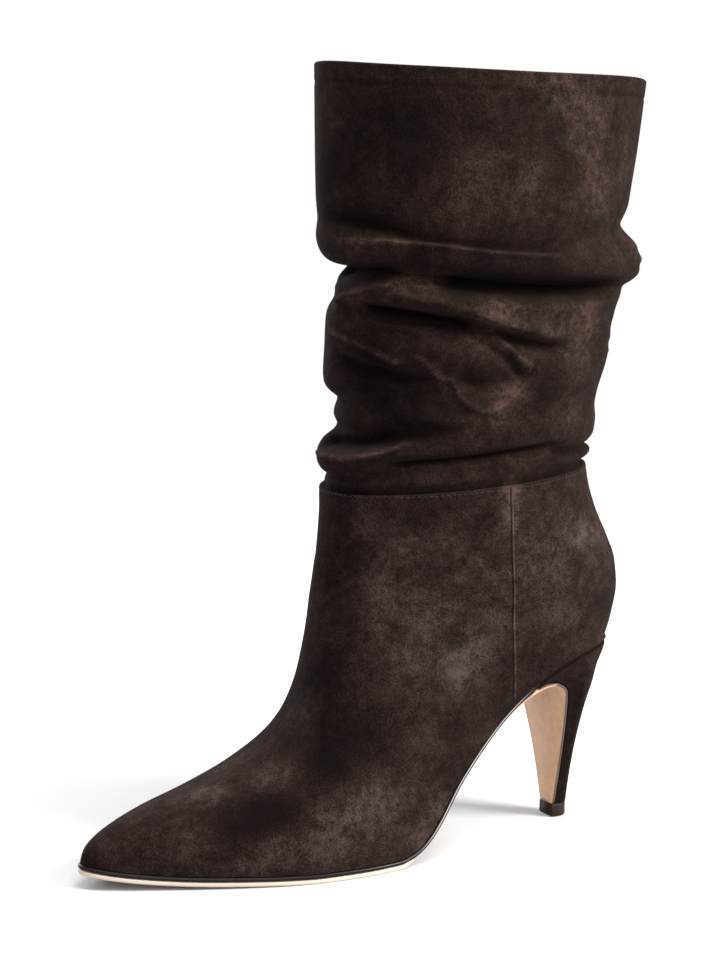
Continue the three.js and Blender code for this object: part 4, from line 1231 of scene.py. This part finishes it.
def heel_loops():
    return [pull_seat(ring_of(*heel_ring(number))) for number in np.linspace(LAST_RING, 0, HEEL_ROWS)]


heel = loft("covered_heel", heel_loops(), HEEL_SUEDE)
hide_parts("heel")


CORNER_SPAN = 12
CORNER_PASSES = 40
FLAP_TAPER = 0.25
FLAP_INSET = 0.6                  # of the layers' inset, along the flap
# From the tread to the top face: share of the thickness under the top, and inset of the edge
OUTSOLE_LAYERS = ((1.0, 0.35), (0.86, 0.1), (0.7, 0.0), (0.12, 0.0), (0.0, 0.1))
RAW_EDGE_DEPTH = (1.6, 0.5)
RAW_EDGE_SPAN = (0.40, 0.5)
FLAP_TOP = 1                      # the flap counts from this far behind the breast's top
STAIN_DEPTH = (0.75, 0.98)
STAIN_SPAN = (0.40, 0.46)


def breast_line(count):
    """The heel's front corner from the seat down to the tip: places and half widths."""
    return np.array([heel_ring(number)[0][-1] for number in np.linspace(0, LAST_RING, count)])


def shank_share(along):
    return 1 - smoothstep(along, SHANK_FULL, SHANK_START)


def outsole_margin(along):
    return lerp(OUTSOLE_MARGIN, -SHANK_INSET, shank_share(along))


def soften(line, corner):
    """Rounds a line of points round its corner."""
    start, end = corner - CORNER_SPAN, corner + CORNER_SPAN
    for _ in range(CORNER_PASSES):
        line[start:end] = (line[start - 1:end - 1] + line[start:end] * 2 + line[start + 1:end + 1]) / 4
    return line


def outsole_loops():
    """Loops from the outsole's tread to its top face, the flap down the heel's breast included."""
    breast = breast_line(BREAST_STEPS)
    run = unit(np.gradient(breast[:, [0, 2]], axis=0))
    angle = lerp(1.0, float(turn(FLAP_START)), np.linspace(0, 1, PLATE_STEPS))
    along = unturn(angle)
    thickness = lerp(OUTSOLE_THICKNESS, FLAP_THICKNESS, shank_share(along))
    loops = []
    for share, inset in OUTSOLE_LAYERS:
        height = LAYER_TOP - share * thickness
        outer = sole_point(angle, 1, outsole_margin(along) - inset, height)
        inner = sole_point(angle, -1, outsole_margin(along) - inset, height)
        away = GAP + share * FLAP_THICKNESS
        x = breast[:, 0] - away * run[:, 1]
        z = breast[:, 2] + away * run[:, 0]
        x[-1], z[-1] = breast[-1, 0] + away, breast[-1, 2]
        flap = np.stack([x, breast[:, 1] - inset * FLAP_INSET - share * FLAP_TAPER, z], -1)
        mirrored = flap * np.array([1, -1, 1])
        outer = soften(np.concatenate([outer, flap]), len(outer))
        inner = soften(np.concatenate([inner, mirrored]), len(inner))
        loops.append(ring_of(outer, inner))
    return loops


outsole = loft("leather_sole", outsole_loops(), SOLE)


def edge_share(places):
    """1 on the pale raw edge of the forepart, 0 elsewhere."""
    along = along_at(places[:, 0])
    side = np.where(places[:, 1] > axis_y(along), 1, -1)
    half = half_width(np.clip(along, 0, 1), side)
    inside = half + OUTSOLE_MARGIN - np.abs(places[:, 1] - axis_y(along))
    return smoothstep(inside, *RAW_EDGE_DEPTH) * smoothstep(along, *RAW_EDGE_SPAN)


def stain_share(places):
    """1 on the dark sides of the shank and of the flap on the heel's breast, 0 elsewhere."""
    breast = breast_line(BREAST_FINE_STEPS)
    near = np.linalg.norm(places[:, None, [0, 2]] - breast[None, :, [0, 2]], axis=2).min(1)
    along, height = over_feather(places)
    thickness = lerp(OUTSOLE_THICKNESS, FLAP_THICKNESS, shank_share(along))
    on_flap = places[:, 0] < breast[0, 0] - FLAP_TOP
    share = np.where(on_flap, (near - GAP) / FLAP_THICKNESS, (LAYER_TOP - height) / thickness)
    return (1 - smoothstep(share, *STAIN_DEPTH)) * (1 - smoothstep(along, *STAIN_SPAN))


set_attribute(outsole, "edge", edge_share)
set_attribute(outsole, "stain", stain_share)
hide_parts("outsole")


# From the ground up: height and inset of the top piece's edge
TIP_LAYERS = ((0, 0.5), (0.25, 0.12), (0.8, 0), (4.6, 0), (5.2, 0.08), (TOP_PIECE_THICKNESS, 0.3))


def tip_loops():
    loops = []
    for z, inset in TIP_LAYERS:
        front, half = TIP_LENGTH / 2 - inset, TIP_WIDTH / 2 - inset
        sides = [ring_side(side, -front, front, half, TIP_SIDE_STEPS) for side in (1, -1)]
        loops.append(ring_of(*(np.stack([x, y, np.full_like(x, z)], -1) for x, y in sides)))
    return loops


tip = loft("rubber_tip", tip_loops(), RUBBER)
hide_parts("top_piece")

# Insole: the model's own solid with a lining finish
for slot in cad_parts["insole"].material_slots:
    slot.material = LINING


# Camera, floor and light

IMAGE_HEIGHT = 961
SENSOR = 36
FOCAL_PIXELS = 2664
CAMERA_PLACE = (0.57735, 0.91293, 0.33210)
AIM = (0.0921, 0.0, 0.1493)


def look_at(thing, place, aim):
    thing.location = place
    thing.rotation_euler = (Vector(aim) - Vector(place)).to_track_quat("-Z", "Y").to_euler()


camera_data = bpy.data.cameras.new("camera")
camera_data.sensor_width = SENSOR
camera_data.lens = SENSOR * FOCAL_PIXELS / IMAGE_HEIGHT
camera_data.clip_end = 20
camera = bpy.data.objects.new("camera", camera_data)
bpy.context.scene.collection.objects.link(camera)
look_at(camera, CAMERA_PLACE, AIM)
bpy.context.scene.camera = camera


LIGHTS_AIM = (0.06, 0, 0.13)
LIGHTS = table(
    "name place size power",
    ("key", (-1.3, 1.35, 1.25), (0.8, 0.9), 150),
    ("front", (0.9, 2.0, 0.9), (1.2, 1.2), 24),
    ("overhead", (-0.2, 0.3, 2.0), (1.2, 1.2), 62),
    ("back", (0.3, -1.7, 1.0), (1.2, 1.2), 40),
)
for lamp in LIGHTS:
    data = bpy.data.lights.new(lamp["name"], "AREA")
    data.shape = "RECTANGLE"
    data.size, data.size_y = lamp["size"]
    data.energy = lamp["power"]
    light = bpy.data.objects.new(lamp["name"], data)
    bpy.context.scene.collection.objects.link(light)
    look_at(light, lamp["place"], LIGHTS_AIM)

FLOOR_REACH = 1.6
FLOOR_SOLID = 0.45                # within this distance the floor is solid, then it fades into the white
FLOOR_FADED = 1.1


def floor_material():
    n = Nodes("floor")
    tone = n.blend(n.noise(6, 2), *FLOOR_TONES)
    n.give("Base Color", tone)
    n.set(Roughness=0.6, Specular_IOR_Level=0.15)
    length = n.add("ShaderNodeVectorMath", operation="LENGTH")
    n.join(n.place, length.inputs[0])
    n.give("Alpha", n.ramp(length.outputs["Value"], FLOOR_SOLID, FLOOR_FADED, 1, 0))
    return n.material


def studio():
    mesh = bpy.data.meshes.new("floor")
    corners = [(-1, -1), (1, -1), (1, 1), (-1, 1)]
    mesh.from_pydata([(x * FLOOR_REACH, y * FLOOR_REACH, 0) for x, y in corners], [], [(0, 1, 2, 3)])
    mesh.materials.append(floor_material())
    floor = bpy.data.objects.new("floor", mesh)
    bpy.context.scene.collection.objects.link(floor)
    world = bpy.data.worlds.new("studio")
    world.use_nodes = True
    world.node_tree.nodes["Background"].inputs["Color"].default_value = (1, 1, 1, 1)
    world.node_tree.nodes["Background"].inputs["Strength"].default_value = 1.0
    bpy.context.scene.world = world
    bpy.context.scene.view_settings.view_transform = "Standard"


studio()
